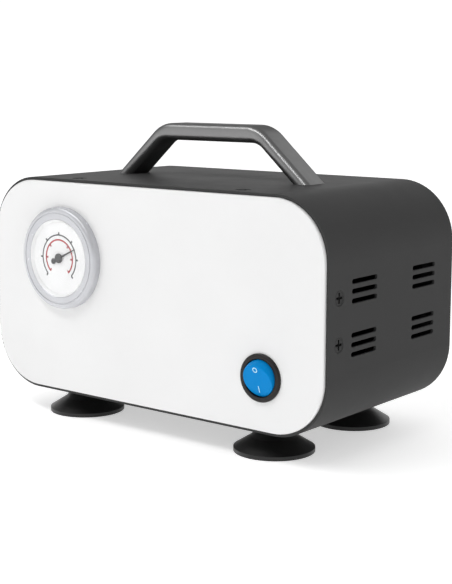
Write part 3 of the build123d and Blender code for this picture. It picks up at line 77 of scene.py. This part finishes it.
class Shader:
    """A Principled material with short calls for the procedural detail that it needs."""

    def __init__(self, name, rough=0.5, **sockets):
        self.mat = bpy.data.materials.new(name)
        self.mat.use_nodes = True
        self.tree = self.mat.node_tree
        self.bsdf = self.tree.nodes["Principled BSDF"]
        self.bsdf.inputs["Roughness"].default_value = rough
        for socket, value in sockets.items():
            self.bsdf.inputs[socket.replace("_", " ")].default_value = value
        self.coords = self.tree.nodes.new("ShaderNodeTexCoord").outputs["Object"]
        self.normal = None

    def node(self, kind, **settings):
        made = self.tree.nodes.new(kind)
        for key, value in settings.items():
            setattr(made, key, value)
        return made

    def link(self, output, target):
        self.tree.links.new(output, target)

    def squashed(self, x, y, z):
        """Object coordinates scaled along each axis, for grain that runs one way."""
        mapping = self.node("ShaderNodeMapping")
        mapping.inputs["Scale"].default_value = (x, y, z)
        self.link(self.coords, mapping.inputs["Vector"])
        return mapping.outputs["Vector"]

    def noise(self, scale, detail=3.0, rough=0.55, coords=None):
        made = self.node("ShaderNodeTexNoise")
        made.inputs["Scale"].default_value = scale
        made.inputs["Detail"].default_value = detail
        made.inputs["Roughness"].default_value = rough
        self.link(coords or self.coords, made.inputs["Vector"])
        return made.outputs["Fac"]

    def ramp(self, value, low=NOISE_LOW, high=NOISE_HIGH, to_low=0.0, to_high=1.0):
        return add_ramp(self.tree, value, low, high, to_low, to_high)

    def math(self, operation, a, b):
        made = self.node("ShaderNodeMath", operation=operation)
        for socket, value in zip(made.inputs, (a, b)):
            if isinstance(value, (int, float)):
                socket.default_value = value
            else:
                self.link(value, socket)
        return made.outputs["Value"]

    def mix(self, factor, a, b):
        """Colour a where factor is 0, colour b where it is 1."""
        made = self.node("ShaderNodeMix", data_type="RGBA")
        self.link(factor, made.inputs["Factor"])
        for socket, value in zip((made.inputs[MIX_A], made.inputs[MIX_B]), (a, b)):
            if isinstance(value, tuple):
                socket.default_value = (*value, 1)
            else:
                self.link(value, socket)
        return made.outputs[MIX_RESULT]

    def edges(self, radius, low=0.01, high=0.16):
        """1 on edges and corners, 0 on flats: how far the rounded normal turns from the true one."""
        bevel = self.node("ShaderNodeBevel", samples=EDGE_SAMPLES)
        bevel.inputs["Radius"].default_value = radius
        true_normal = self.node("ShaderNodeNewGeometry").outputs["Normal"]
        dot = self.node("ShaderNodeVectorMath", operation="DOT_PRODUCT")
        self.link(bevel.outputs["Normal"], dot.inputs[0])
        self.link(true_normal, dot.inputs[1])
        turned_away = self.math("SUBTRACT", 1.0, dot.outputs["Value"])
        return self.ramp(turned_away, low, high)

    def soften(self, radius):
        """Round the shading of sharp edges by this radius."""
        bevel = self.node("ShaderNodeBevel", samples=SOFT_SAMPLES)
        bevel.inputs["Radius"].default_value = radius
        self.normal = bevel.outputs["Normal"]

    def bump(self, height, depth, strength):
        made = self.node("ShaderNodeBump")
        made.inputs["Distance"].default_value = depth
        made.inputs["Strength"].default_value = strength
        self.link(height, made.inputs["Height"])
        if self.normal:
            self.link(self.normal, made.inputs["Normal"])
        self.normal = made.outputs["Normal"]

    def color(self, value):
        self.link(value, self.bsdf.inputs["Base Color"])

    def rough(self, value, least, most, low=NOISE_LOW, high=NOISE_HIGH):
        """Let the roughness run from least to most as the value runs from low to high."""
        self.link(self.ramp(value, low, high, least, most), self.bsdf.inputs["Roughness"])

    def done(self):
        if self.normal:
            self.link(self.normal, self.bsdf.inputs["Normal"])
        return self.mat


def grey(value):
    return (value, value, value)


def toned(colour, by, lift=0.0):
    """The colour scaled and lifted, and held at white at most."""
    return tuple(min(1, c * by + lift) for c in colour)


# ------------------------------------------------------------------ materials
# Painted shade: near black for faces inside the case that are seen through the vents.
PAINTED_SHADE = grey(0.004)
EDGE_TINT = (0.25, 0.25, 0.25, 1)
GRAIN_PER_PEEL = 1 / 5
GLOSS_PER_GRAIN = 1 / 3


def powder_coat(name, base, edge, rough, peel=20 * UM, shade_facing=None, **sockets):
    """Stoved powder coat: orange peel, a finer grain, slight blotches and rubbed edges.

    shade_facing, if given, is the direction faced by the side of a sheet that is painted near black as shade, for
    the inside seen through the vents.
    """
    s = Shader(name, rough, **sockets)
    s.soften(0.35 * MM)
    s.bump(s.noise(scale=420, detail=2), depth=peel, strength=0.6)
    s.bump(s.noise(scale=2600, detail=2), depth=peel * GRAIN_PER_PEEL, strength=0.5)
    blotch = s.ramp(s.noise(scale=14, detail=4), low=0.35, high=0.65)
    body = s.mix(blotch, base, toned(base, by=1.03))
    patches = s.ramp(s.noise(scale=300, detail=5), low=0.45, high=0.7)
    coat = s.mix(s.math("MULTIPLY", s.edges(0.5 * MM), patches), body, edge)
    # Painted shade: faces turned the given way are painted near black, so the inside seen through the vents looks
    # dark.
    if shade_facing:
        facing = s.node("ShaderNodeVectorMath", operation="DOT_PRODUCT")
        facing.inputs[1].default_value = shade_facing
        s.link(s.node("ShaderNodeNewGeometry").outputs["Normal"], facing.inputs[0])
        coat = s.mix(s.ramp(facing.outputs["Value"], low=0.6, high=0.7), coat, PAINTED_SHADE)
    s.color(coat)
    s.rough(s.noise(scale=90, detail=4), least=rough - 0.02, most=rough + 0.02)
    return s.done()


def satin_metal(name, base, rough, grain=(1, 1, 1), grain_scale=1500):
    """Metal with fine drawn or blasted grain, small colour drift and brighter edges."""
    s = Shader(name, rough, Metallic=1.0)
    s.soften(0.25 * MM)
    drawn = s.squashed(*grain)
    s.bump(s.noise(grain_scale, detail=3, coords=drawn), depth=6 * UM, strength=0.5)
    tone = s.ramp(s.noise(scale=60, detail=4, coords=drawn))
    body = s.mix(tone, toned(base, by=0.94), toned(base, by=1.05))
    patches = s.ramp(s.noise(scale=500, detail=4), low=0.4, high=0.65, to_high=0.6)
    s.color(s.mix(s.math("MULTIPLY", s.edges(0.4 * MM), patches), body, toned(base, by=1.25)))
    gloss = s.noise(grain_scale * GLOSS_PER_GRAIN, detail=4, coords=drawn)
    s.rough(gloss, least=rough - 0.06, most=rough + 0.06)
    return s.done()


def blasted_metal(name, base, rough, grain):
    """Bead-blasted and satin-lacquered metal: an even fine grain and a soft, wide highlight."""
    s = Shader(name, rough, Metallic=1.0, Specular_Tint=EDGE_TINT)
    s.bump(s.noise(scale=1400, detail=2), depth=grain, strength=0.4)
    tone = s.ramp(s.noise(scale=50, detail=4))
    s.color(s.mix(tone, toned(base, by=0.96), toned(base, by=1.04)))
    s.rough(s.noise(scale=300, detail=4), least=rough - 0.03, most=rough + 0.03)
    return s.done()


def moulded(name, base, rough, texture=10 * UM, **sockets):
    """Moulded plastic or enamel: spark-eroded texture, faint flow blotches, polished edges."""
    s = Shader(name, rough, **sockets)
    s.soften(0.2 * MM)
    s.bump(s.noise(scale=1800, detail=2), depth=texture, strength=0.6)
    flow = s.ramp(s.noise(scale=45, detail=5), low=0.35, high=0.65)
    body = s.mix(flow, base, toned(base, by=1.12, lift=0.001))
    polish = s.edges(0.3 * MM, low=0.02, high=0.3)
    s.color(s.mix(polish, body, toned(base, by=1.3, lift=0.006)))
    s.rough(s.noise(scale=220, detail=4), least=rough - 0.05, most=rough + 0.06)
    return s.done()


def rubber(name, base):
    """Soft black rubber with a moulded skin, a little dust and a sheen."""
    s = Shader(name, Sheen_Weight=0.15, Sheen_Roughness=0.4)
    s.bump(s.noise(scale=900, detail=3), depth=10 * UM, strength=0.5)
    dust = s.ramp(s.noise(scale=160, detail=6, rough=0.7), low=0.55, high=0.75, to_high=0.35)
    s.color(s.mix(dust, base, toned(base, by=2.6, lift=0.006)))
    s.rough(s.noise(scale=120, detail=5), least=0.36, most=0.5)
    return s.done()


def clear(name, tint, alpha, rough=0.05):
    """Clear sheet that lets light through, with faint wipe marks in its gloss."""
    s = Shader(name, rough, Alpha=alpha)
    s.bump(s.noise(scale=40, detail=3), depth=4 * UM, strength=0.3)
    s.color(s.mix(s.ramp(s.noise(scale=70, detail=4), low=0.4), tint, toned(tint, by=0.98)))
    wipes = s.noise(scale=150, detail=5, coords=s.squashed(1, 1, 6))
    s.rough(wipes, least=rough, most=rough + 0.05, low=0.4)
    return s.done()


def wound(name, base):
    """Turns of enamelled wire."""
    s = Shader(name, rough=0.35, Metallic=0.8)
    s.bump(s.noise(scale=700, detail=2, coords=s.squashed(1, 8, 8)), depth=200 * UM, strength=0.8)
    s.color(s.mix(s.noise(scale=300, detail=4), toned(base, by=0.6), base))
    return s.done()


def white_coat(name, shade_facing=None):
    """The coat of the two white panels."""
    return powder_coat(name, grey(0.79), edge=grey(0.86), rough=0.36, peel=10 * UM, shade_facing=shade_facing,
                       Specular_IOR_Level=0.3)


MATERIALS = {
    "shell": powder_coat("shell_coat", grey(0.055), edge=grey(0.075), rough=0.5, Specular_IOR_Level=0.03),
    "panel": white_coat("panel_coat"),
    "frame_plastic": moulded("frame_moulding", grey(0.008), rough=0.6),
    "rubber": rubber("foot_rubber", grey(0.0035)),
    "handle_metal": blasted_metal("handle_satin", grey(0.27), rough=0.35, grain=0.8 * UM),
    "steel": satin_metal("zinc_plate", (0.62, 0.61, 0.57), rough=0.34),
    "black_screw": moulded("black_oxide", grey(0.012), rough=0.42, Specular_IOR_Level=0.2),
    "bezel_metal": moulded("bezel_enamel", (0.52, 0.525, 0.55), rough=0.22, texture=1 * UM, Metallic=0.3),
    "lens": clear("gauge_glass", (0.95, 0.97, 1.0), alpha=0.04),
    "dial": moulded("dial_enamel", grey(0.80), rough=0.5, texture=2 * UM),
    "pointer": moulded("pointer_enamel", grey(0.035), rough=0.4, texture=2 * UM),
    "brass": satin_metal("turned_brass", (0.78, 0.57, 0.26), rough=0.28),
    "nickel": satin_metal("nickel_plate", (0.72, 0.70, 0.66), rough=0.2),
    "switch_black": moulded("switch_nylon", (0.0085, 0.0065, 0.006), rough=0.34, Specular_IOR_Level=0.3),
    "rocker_blue": moulded("rocker_plastic", (0.0, 0.215, 0.56), rough=0.34, texture=4 * UM,
                           Specular_IOR_Level=0.06),
    "inlet_plastic": moulded("inlet_thermoplastic", grey(0.009), rough=0.4),
    "fuse_glass": clear("fuse_glass", (0.9, 0.95, 0.93), alpha=0.45),
    "silicone": moulded("silicone_hose", (0.72, 0.73, 0.70), rough=0.35, Subsurface_Weight=0.2),
    "pump_metal": satin_metal("machined_aluminium", grey(0.66), rough=0.36),
    "carbon": moulded("carbon_graphite", grey(0.03), rough=0.42),
    "motor_steel": powder_coat("motor_enamel", (0.07, 0.08, 0.09), edge=grey(0.2), rough=0.4),
    "lamination": satin_metal("stacked_laminations", grey(0.32), rough=0.4, grain=(12, 1, 1),
                              grain_scale=900),
    "copper": wound("enamelled_copper", (0.62, 0.22, 0.08)),
    "fan_plastic": moulded("fan_moulding", grey(0.006), rough=0.6),
    "capacitor": moulded("capacitor_case", grey(0.7), rough=0.4),
}

# The rear panel's inner face turns towards the front. It gets painted shade, near black, because it is seen
# through the vents.
TOWARDS_FRONT = (0, -1, 0)
REAR_COAT = white_coat("rear_panel_coat", shade_facing=TOWARDS_FRONT)

SMOOTH_ANGLE = radians(32)


def smooth(mesh):
    """Shade the mesh smooth up to the angle at which an edge counts as sharp."""
    mesh.shade_smooth()
    mesh.set_sharp_from_angle(angle=SMOOTH_ANGLE)


for name, node in nodes.items():
    node.data.materials.clear()
    node.data.materials.append(MATERIALS[slot_of[name]])
    smooth(node.data)
    weighted = node.modifiers.new("weighted", "WEIGHTED_NORMAL")
    weighted.keep_sharp = True
nodes["rear_panel"].data.materials[0] = REAR_COAT


# ------------------------------------------------------------------ mesh helpers
INK_T = 0.05 * MM
ARC_STEPS = 64
FULL_TURN = 360


def merged(name, parts, material, body):
    """Join bmesh-built parts, each a function that fills a bmesh, into one piece on a CAD body."""
    bm = bmesh.new()
    for fill in parts:
        fill(bm)
    bmesh.ops.recalc_face_normals(bm, faces=bm.faces)
    mesh = bpy.data.meshes.new(name)
    bm.to_mesh(mesh)
    bm.free()
    obj = bpy.data.objects.new(name, mesh)
    bpy.context.scene.collection.objects.link(obj)
    mesh.materials.append(material)
    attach(obj, body)
    return obj


def bridge(bm, one, two, closed=True):
    """Faces between two rows of vertices, which are rings where closed."""
    count = len(one)
    for k in range(count if closed else count - 1):
        after = (k + 1) % count
        bm.faces.new((one[k], one[after], two[after], two[k]))


def printed(outline, place):
    """A printed mark with this outline: place(u, v, w) maps its plane's coordinates to the frame."""
    def fill(bm):
        low = [bm.verts.new(place(u, v, 0)) for u, v in outline]
        top = [bm.verts.new(place(u, v, INK_T)) for u, v in outline]
        bm.faces.new(low)
        bm.faces.new(reversed(top))
        for k in range(len(outline)):
            after = (k + 1) % len(outline)
            bm.faces.new((low[k], top[k], top[after], low[after]))
    return fill


def stroke(u0, v0, u1, v1, width, place):
    """A printed straight mark from (u0, v0) to (u1, v1)."""
    along = Vector((u1 - u0, v1 - v0)).normalized()
    side = Vector((-along.y, along.x)) * width / 2
    near = [(u0 + side.x, v0 + side.y), (u1 + side.x, v1 + side.y)]
    far = [(u1 - side.x, v1 - side.y), (u0 - side.x, v0 - side.y)]
    return printed(near + far, place)


def dart(u0, v0, angle, length, width, place):
    """A small printed arrowhead whose point is at (u0, v0)."""
    back = Vector((cos(angle), sin(angle)))
    side = Vector((-back.y, back.x)) * width / 2
    tip = Vector((u0, v0))
    return printed([tip, tip + back * length + side, tip + back * length - side], place)


def arc_band(radius, width, start, end, place):
    """A printed arc, or a ring where it turns all the way, about the plane's origin."""
    inside = radius - width / 2
    outside = radius + width / 2

    def fill(bm):
        rings = []
        for i in range(ARC_STEPS + 1):
            a = radians(start + (end - start) * i / ARC_STEPS)
            section = ((inside, 0), (outside, 0), (outside, INK_T), (inside, INK_T))
            rings.append([bm.verts.new(place(r * cos(a), r * sin(a), w)) for r, w in section])
        for one, two in zip(rings, rings[1:]):
            bridge(bm, one, two)
        if end - start < FULL_TURN:
            bm.faces.new(rings[0])
            bm.faces.new(reversed(rings[-1]))
    return fill


# ------------------------------------------------------------------ gauge dial
ink_grey = moulded("dial_ink_grey", grey(0.035), rough=0.5, texture=2 * UM)
ink_red = moulded("dial_ink_red", (0.40, 0.0, 0.006), rough=0.5, texture=2 * UM)
ink_cyan = moulded("rocker_marks", (0.50, 0.80, 0.92), rough=0.4, texture=2 * UM)

# Two arcs over 270 degrees. The outer one has a tick at every 45 degrees, the inner one at four of them
# and an arrowhead at each end.
SCALE_START = 225
SCALE_END = -45
SCALE_STEP = 45
SCALE_TICKS = 7
INNER_TICKS = (1, 2, 4, 5)
OUTER_R = 12.1 * MM
OUTER_W = 0.7 * MM
INNER_R = 9.6 * MM
INNER_W = 0.8 * MM
TICK_W = 0.85 * MM
TICK_L = 1.5 * MM
DART_R = INNER_R - 1.7 * MM
DART_L = 1.9 * MM
DART_W = 1.6 * MM
dial_low, dial_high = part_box("gauge_dial")
gauge_centre = (dial_low + dial_high) / 2


def on_dial(u, v, w):
    return (gauge_centre.x + u, dial_low.y - w, gauge_centre.z + v)


def radial_tick(angle, r0, r1):
    return stroke(r0 * cos(angle), r0 * sin(angle), r1 * cos(angle), r1 * sin(angle), TICK_W, on_dial)


angles = [radians(SCALE_START - SCALE_STEP * i) for i in range(SCALE_TICKS)]
grey_parts = [arc_band(OUTER_R, OUTER_W, SCALE_END, SCALE_START, on_dial)]
grey_parts += [radial_tick(a, OUTER_R, OUTER_R + TICK_L) for a in angles]
merged("dial_scale_outer", grey_parts, ink_grey, "case")

red_parts = [arc_band(INNER_R, INNER_W, SCALE_END, SCALE_START, on_dial)]
red_parts += [radial_tick(angles[i], INNER_R - TICK_L, INNER_R) for i in INNER_TICKS]
for a in (angles[0], angles[-1]):
    red_parts.append(dart(DART_R * cos(a), DART_R * sin(a), a, DART_L, DART_W, on_dial))
merged("dial_scale_inner", red_parts, ink_red, "case")

# ------------------------------------------------------------------ gauge ring, rim and glass
# The ring holds the glass, and a pale sloping rim stands between the dial and the glass.
RIM_IN = 18.9 * MM
RIM_LIP = 20.0 * MM
RIM_OUT = 20.15 * MM
GLASS_R = 20.1 * MM
GLASS_EASE = 0.4 * MM
GLASS_T = 0.8 * MM
GLASS_FRONT = dial_low.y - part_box("gauge_lens")[0].y
GLASS_BACK = GLASS_FRONT - GLASS_T
RING_BORE = 20.2 * MM
RING_LIP_T = 0.9 * MM
RING_CHAMFER = 0.25 * MM
RING_EASE = 2.2 * MM
LAND_R = 21.0 * MM
GROOVE_R = 23.4 * MM
GROOVE_W = 0.5 * MM
GROOVE_DEPTH = 0.3 * MM
RING_ARC_STEPS = 10
RING_STEPS = 128
DISC_STEPS = 96


def turned(bm, profile, steps, closed=True):
    """Turn a profile of (radius, height) points about the dial's axis."""
    rings = []
    for i in range(steps):
        a = 2 * pi * i / steps
        rings.append([bm.verts.new(on_dial(r * cos(a), r * sin(a), w)) for r, w in profile])
    for one, two in zip(rings, rings[1:] + rings[:1]):
        bridge(bm, one, two, closed)
    return rings


def dial_rim(bm):
    turned(bm, ((RIM_IN, 0), (RIM_LIP, GLASS_BACK), (RIM_OUT, GLASS_BACK), (RIM_OUT, 0)), DISC_STEPS)


def dial_glass(bm):
    edge = ((GLASS_R, GLASS_BACK), (GLASS_R, GLASS_FRONT - GLASS_EASE), (GLASS_R - GLASS_EASE, GLASS_FRONT))
    rings = turned(bm, edge, DISC_STEPS, closed=False)
    bm.faces.new([ring[0] for ring in rings])
    bm.faces.new([ring[-1] for ring in rings])


def front_ring(bm):
    low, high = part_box("gauge_bezel")
    outer = (high.x - low.x) / 2
    front = dial_low.y - low.y
    back = dial_low.y - high.y
    land = front - RING_LIP_T
    profile = [(RING_BORE, front - RING_CHAMFER), (RING_BORE, land), (LAND_R, land)]
    profile += [(LAND_R, back), (outer, back)]
    for i in range(RING_ARC_STEPS + 1):
        a = pi / 2 * i / RING_ARC_STEPS
        profile.append((outer - RING_EASE * (1 - cos(a)), front - RING_EASE * (1 - sin(a))))
    for r, depth in ((GROOVE_W, 0), (GROOVE_W, GROOVE_DEPTH), (0, GROOVE_DEPTH), (0, 0)):
        profile.append((GROOVE_R + r, front - depth))
    profile.append((RING_BORE + RING_CHAMFER, front))
    turned(bm, profile, RING_STEPS)


ring = merged("gauge_ring", [front_ring], MATERIALS["bezel_metal"], "case")
smooth(ring.data)
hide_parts("gauge_bezel")
merged("dial_rim", [dial_rim], MATERIALS["dial"], "case")
glass = merged("dial_glass", [dial_glass], MATERIALS["lens"], "case")
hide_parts("gauge_lens")

# ------------------------------------------------------------------ rocker marks
# The ring and the bar that mark the rocker's two ends are printed on its face, which is tilted at rest.
RING_V = 5.9 * MM
RING_R = 1.12 * MM
BAR_V = -4.3 * MM
BAR_L = 3.3 * MM
MARK_W = 0.42 * MM
rocker_joint = next(j for j in frame["joints"] if j["name"] == "rocker_tilt")
pivot = Vector(rocker_joint["pos_m"])
tilt = radians(rocker_joint["range_deg"][1] / 2)
face_out = Vector((0, -cos(tilt), -sin(tilt)))
face_up = Vector((0, -sin(tilt), cos(tilt)))
face_height = max((v.co - pivot).dot(face_out) for v in nodes["switch_rocker"].data.vertices)


def on_rocker(u, v, w):
    return pivot + Vector((1, 0, 0)) * u + face_up * v + face_out * (face_height + w)


def about_ring(u, v, w):
    return on_rocker(u, RING_V + v, w)


ring_mark = arc_band(RING_R, MARK_W, 0, FULL_TURN, about_ring)
bar_mark = stroke(0, BAR_V - BAR_L / 2, 0, BAR_V + BAR_L / 2, MARK_W, on_rocker)
merged("rocker_mark_off", [ring_mark], ink_cyan, "rocker")
merged("rocker_mark_on", [bar_mark], ink_cyan, "rocker")

# ------------------------------------------------------------------ handle
# A flat bar bent into a trapezium, with its long edges well rounded.
HANDLE_TOP = 32.1 * MM
LEG_T = 6.8 * MM
BAR_T = 8.8 * MM
OUTER_BEND = 19.0 * MM
INNER_BEND = 11.0 * MM
EDGE_R = 3.2 * MM
STRAIGHT_STEPS = 8
BEND_STEPS = 16
CORNER_STEPS = 8
QUARTER_TURN = 90
# Each corner of the bar's section: its side, whether it is on the outer face, and where its arc starts.
CORNERS = ((1, True, 0), (-1, True, 90), (-1, False, 180), (1, False, 270))
handle_low, handle_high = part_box("handle")
handle_rise = handle_high.z - handle_low.z
handle_mid = (handle_low.y + handle_high.y) / 2
handle_half_w = (handle_high.y - handle_low.y) / 2
lean = (handle_high.x - HANDLE_TOP) / handle_rise


def bent_side(foot_x, rise, radius):
    """Half of one outline of the bar in the x-z plane, from a foot over the bend to the middle."""
    foot = Vector((foot_x, 0))
    corner = Vector((foot_x - rise * lean, rise))
    down = (foot - corner).normalized()
    flat = Vector((-1, 0))
    half_turn = (pi - down.angle(flat)) / 2
    start = corner + down * radius * tan(half_turn)
    end = corner + flat * radius * tan(half_turn)
    hub = corner + (down + flat).normalized() * radius / cos(half_turn)
    points = [foot.lerp(start, i / STRAIGHT_STEPS) for i in range(STRAIGHT_STEPS)]
    for i in range(BEND_STEPS + 1):
        points.append(hub + Matrix.Rotation(2 * half_turn * i / BEND_STEPS, 2) @ (start - hub))
    middle = Vector((0, rise))
    points += [end.lerp(middle, i / STRAIGHT_STEPS) for i in range(1, STRAIGHT_STEPS + 1)]
    return points


def handle_section(outer, inner, thickness):
    """One rounded-rectangle section of the bar between its outer and inner outlines."""
    edge = EDGE_R / thickness
    section = []
    for side, on_outer_face, start in CORNERS:
        for i in range(CORNER_STEPS + 1):
            a = radians(start + QUARTER_TURN * i / CORNER_STEPS)
            across = side * (handle_half_w - EDGE_R) + EDGE_R * cos(a)
            through = (1 - edge if on_outer_face else edge) + edge * sin(a)
            spot = inner.lerp(outer, through)
            section.append(Vector((spot.x, handle_mid + across, handle_low.z + spot.y)))
    return section


def handle_bar(bm):
    outer = bent_side(handle_high.x, handle_rise, OUTER_BEND)
    inner_foot = handle_high.x - LEG_T * sqrt(1 + lean ** 2)
    inner = bent_side(inner_foot, handle_rise - BAR_T, INNER_BEND)
    sections = []
    for i, (outer_spot, inner_spot) in enumerate(zip(outer, inner)):
        bent = min(1, max(0, (i - STRAIGHT_STEPS) / BEND_STEPS))
        sections.append(handle_section(outer_spot, inner_spot, LEG_T + (BAR_T - LEG_T) * bent))
    mirrored = [[Vector((-p.x, p.y, p.z)) for p in section] for section in reversed(sections[:-1])]
    rings = [[bm.verts.new(p) for p in section] for section in sections + mirrored]
    for one, two in zip(rings, rings[1:]):
        bridge(bm, one, two)
    bm.faces.new(rings[0])
    bm.faces.new(rings[-1])


bar = merged("handle_bar", [handle_bar], MATERIALS["handle_metal"], "case")
smooth(bar.data)
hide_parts("handle")


# ------------------------------------------------------------------ camera
CAMERA_AT = (0.43098, -0.53518, 0.18066)
CAMERA_YAW = radians(38.811)
CAMERA_PITCH = radians(9.492)
CAMERA_LENS = 80.58
CLIP_START = 0.01

camera = bpy.data.objects.new("camera", bpy.data.cameras.new("camera"))
bpy.context.scene.collection.objects.link(camera)
camera.location = CAMERA_AT
camera.rotation_euler = (pi / 2 - CAMERA_PITCH, 0, CAMERA_YAW)
camera.data.lens = CAMERA_LENS
camera.data.clip_start = CLIP_START
bpy.context.scene.camera = camera


# ------------------------------------------------------------------ lights and sky
def area_light(name, at, aim, size, power):
    light = bpy.data.lights.new(name, "AREA")
    light.shape = "RECTANGLE"
    light.size, light.size_y = size
    light.energy = power
    obj = bpy.data.objects.new(name, light)
    bpy.context.scene.collection.objects.link(obj)
    obj.location = at
    obj.rotation_euler = (Vector(aim) - Vector(at)).to_track_quat("-Z", "Y").to_euler()


area_light("strip", at=(-0.215, -0.63, 1.07), aim=(0, 0, 0.13), size=(1.5, 0.18), power=6.4)
area_light("key", at=(-1.3, -1.6, 1.2), aim=(0, 0, 0.08), size=(1.2, 1.2), power=2.6)
area_light("back", at=(0.5, 1.7, 1.3), aim=(0, 0, 0.12), size=(2.0, 0.9), power=3.6)

# The sky is brightest behind the object and in a haze above the horizon.
BACKDROP = (-sin(CAMERA_YAW), cos(CAMERA_YAW), 0)
WHITE = (1, 1, 1, 1)

world = bpy.data.worlds.new("studio")
bpy.context.scene.world = world
world.use_nodes = True
sky = world.node_tree
direction = sky.nodes.new("ShaderNodeTexCoord").outputs["Generated"]
towards = sky.nodes.new("ShaderNodeVectorMath")
towards.operation = "DOT_PRODUCT"
towards.inputs[1].default_value = BACKDROP
sky.links.new(direction, towards.inputs[0])
backdrop = add_ramp(sky, towards.outputs["Value"], low=0.55, high=0.9, to_low=0.36, to_high=1.05)
axes = sky.nodes.new("ShaderNodeSeparateXYZ")
sky.links.new(direction, axes.inputs["Vector"])
haze = add_ramp(sky, axes.outputs["Z"], low=0.12, high=0.32, to_low=1.0, to_high=0.3)
brighter = sky.nodes.new("ShaderNodeMath")
brighter.operation = "MAXIMUM"
sky.links.new(haze, brighter.inputs[0])
sky.links.new(backdrop, brighter.inputs[1])
sky.nodes["Background"].inputs["Color"].default_value = WHITE
sky.links.new(brighter.outputs["Value"], sky.nodes["Background"].inputs["Strength"])
bpy.context.scene.view_settings.view_transform = "Standard"

# ------------------------------------------------------------------ floor
FLOOR_HALF = 20.0
FLOOR_CORNERS = [(-FLOOR_HALF, -FLOOR_HALF, 0), (FLOOR_HALF, -FLOOR_HALF, 0),
                 (FLOOR_HALF, FLOOR_HALF, 0), (-FLOOR_HALF, FLOOR_HALF, 0)]

floor_mesh = bpy.data.meshes.new("floor")
floor_mesh.from_pydata(FLOOR_CORNERS, [], [range(len(FLOOR_CORNERS))])
floor = bpy.data.objects.new("floor", floor_mesh)
bpy.context.scene.collection.objects.link(floor)
paper = Shader("floor_paper", rough=0.7, Emission_Color=WHITE)
from_centre = paper.node("ShaderNodeVectorMath", operation="LENGTH")
paper.link(paper.coords, from_centre.inputs[0])
glow = paper.ramp(from_centre.outputs["Value"], low=0.3, high=0.9, to_low=0.5, to_high=0.64)
paper.link(glow, paper.bsdf.inputs["Emission Strength"])
paper.color(paper.mix(paper.noise(scale=3, detail=3), grey(0.93), grey(0.95)))
floor_mesh.materials.append(paper.done())
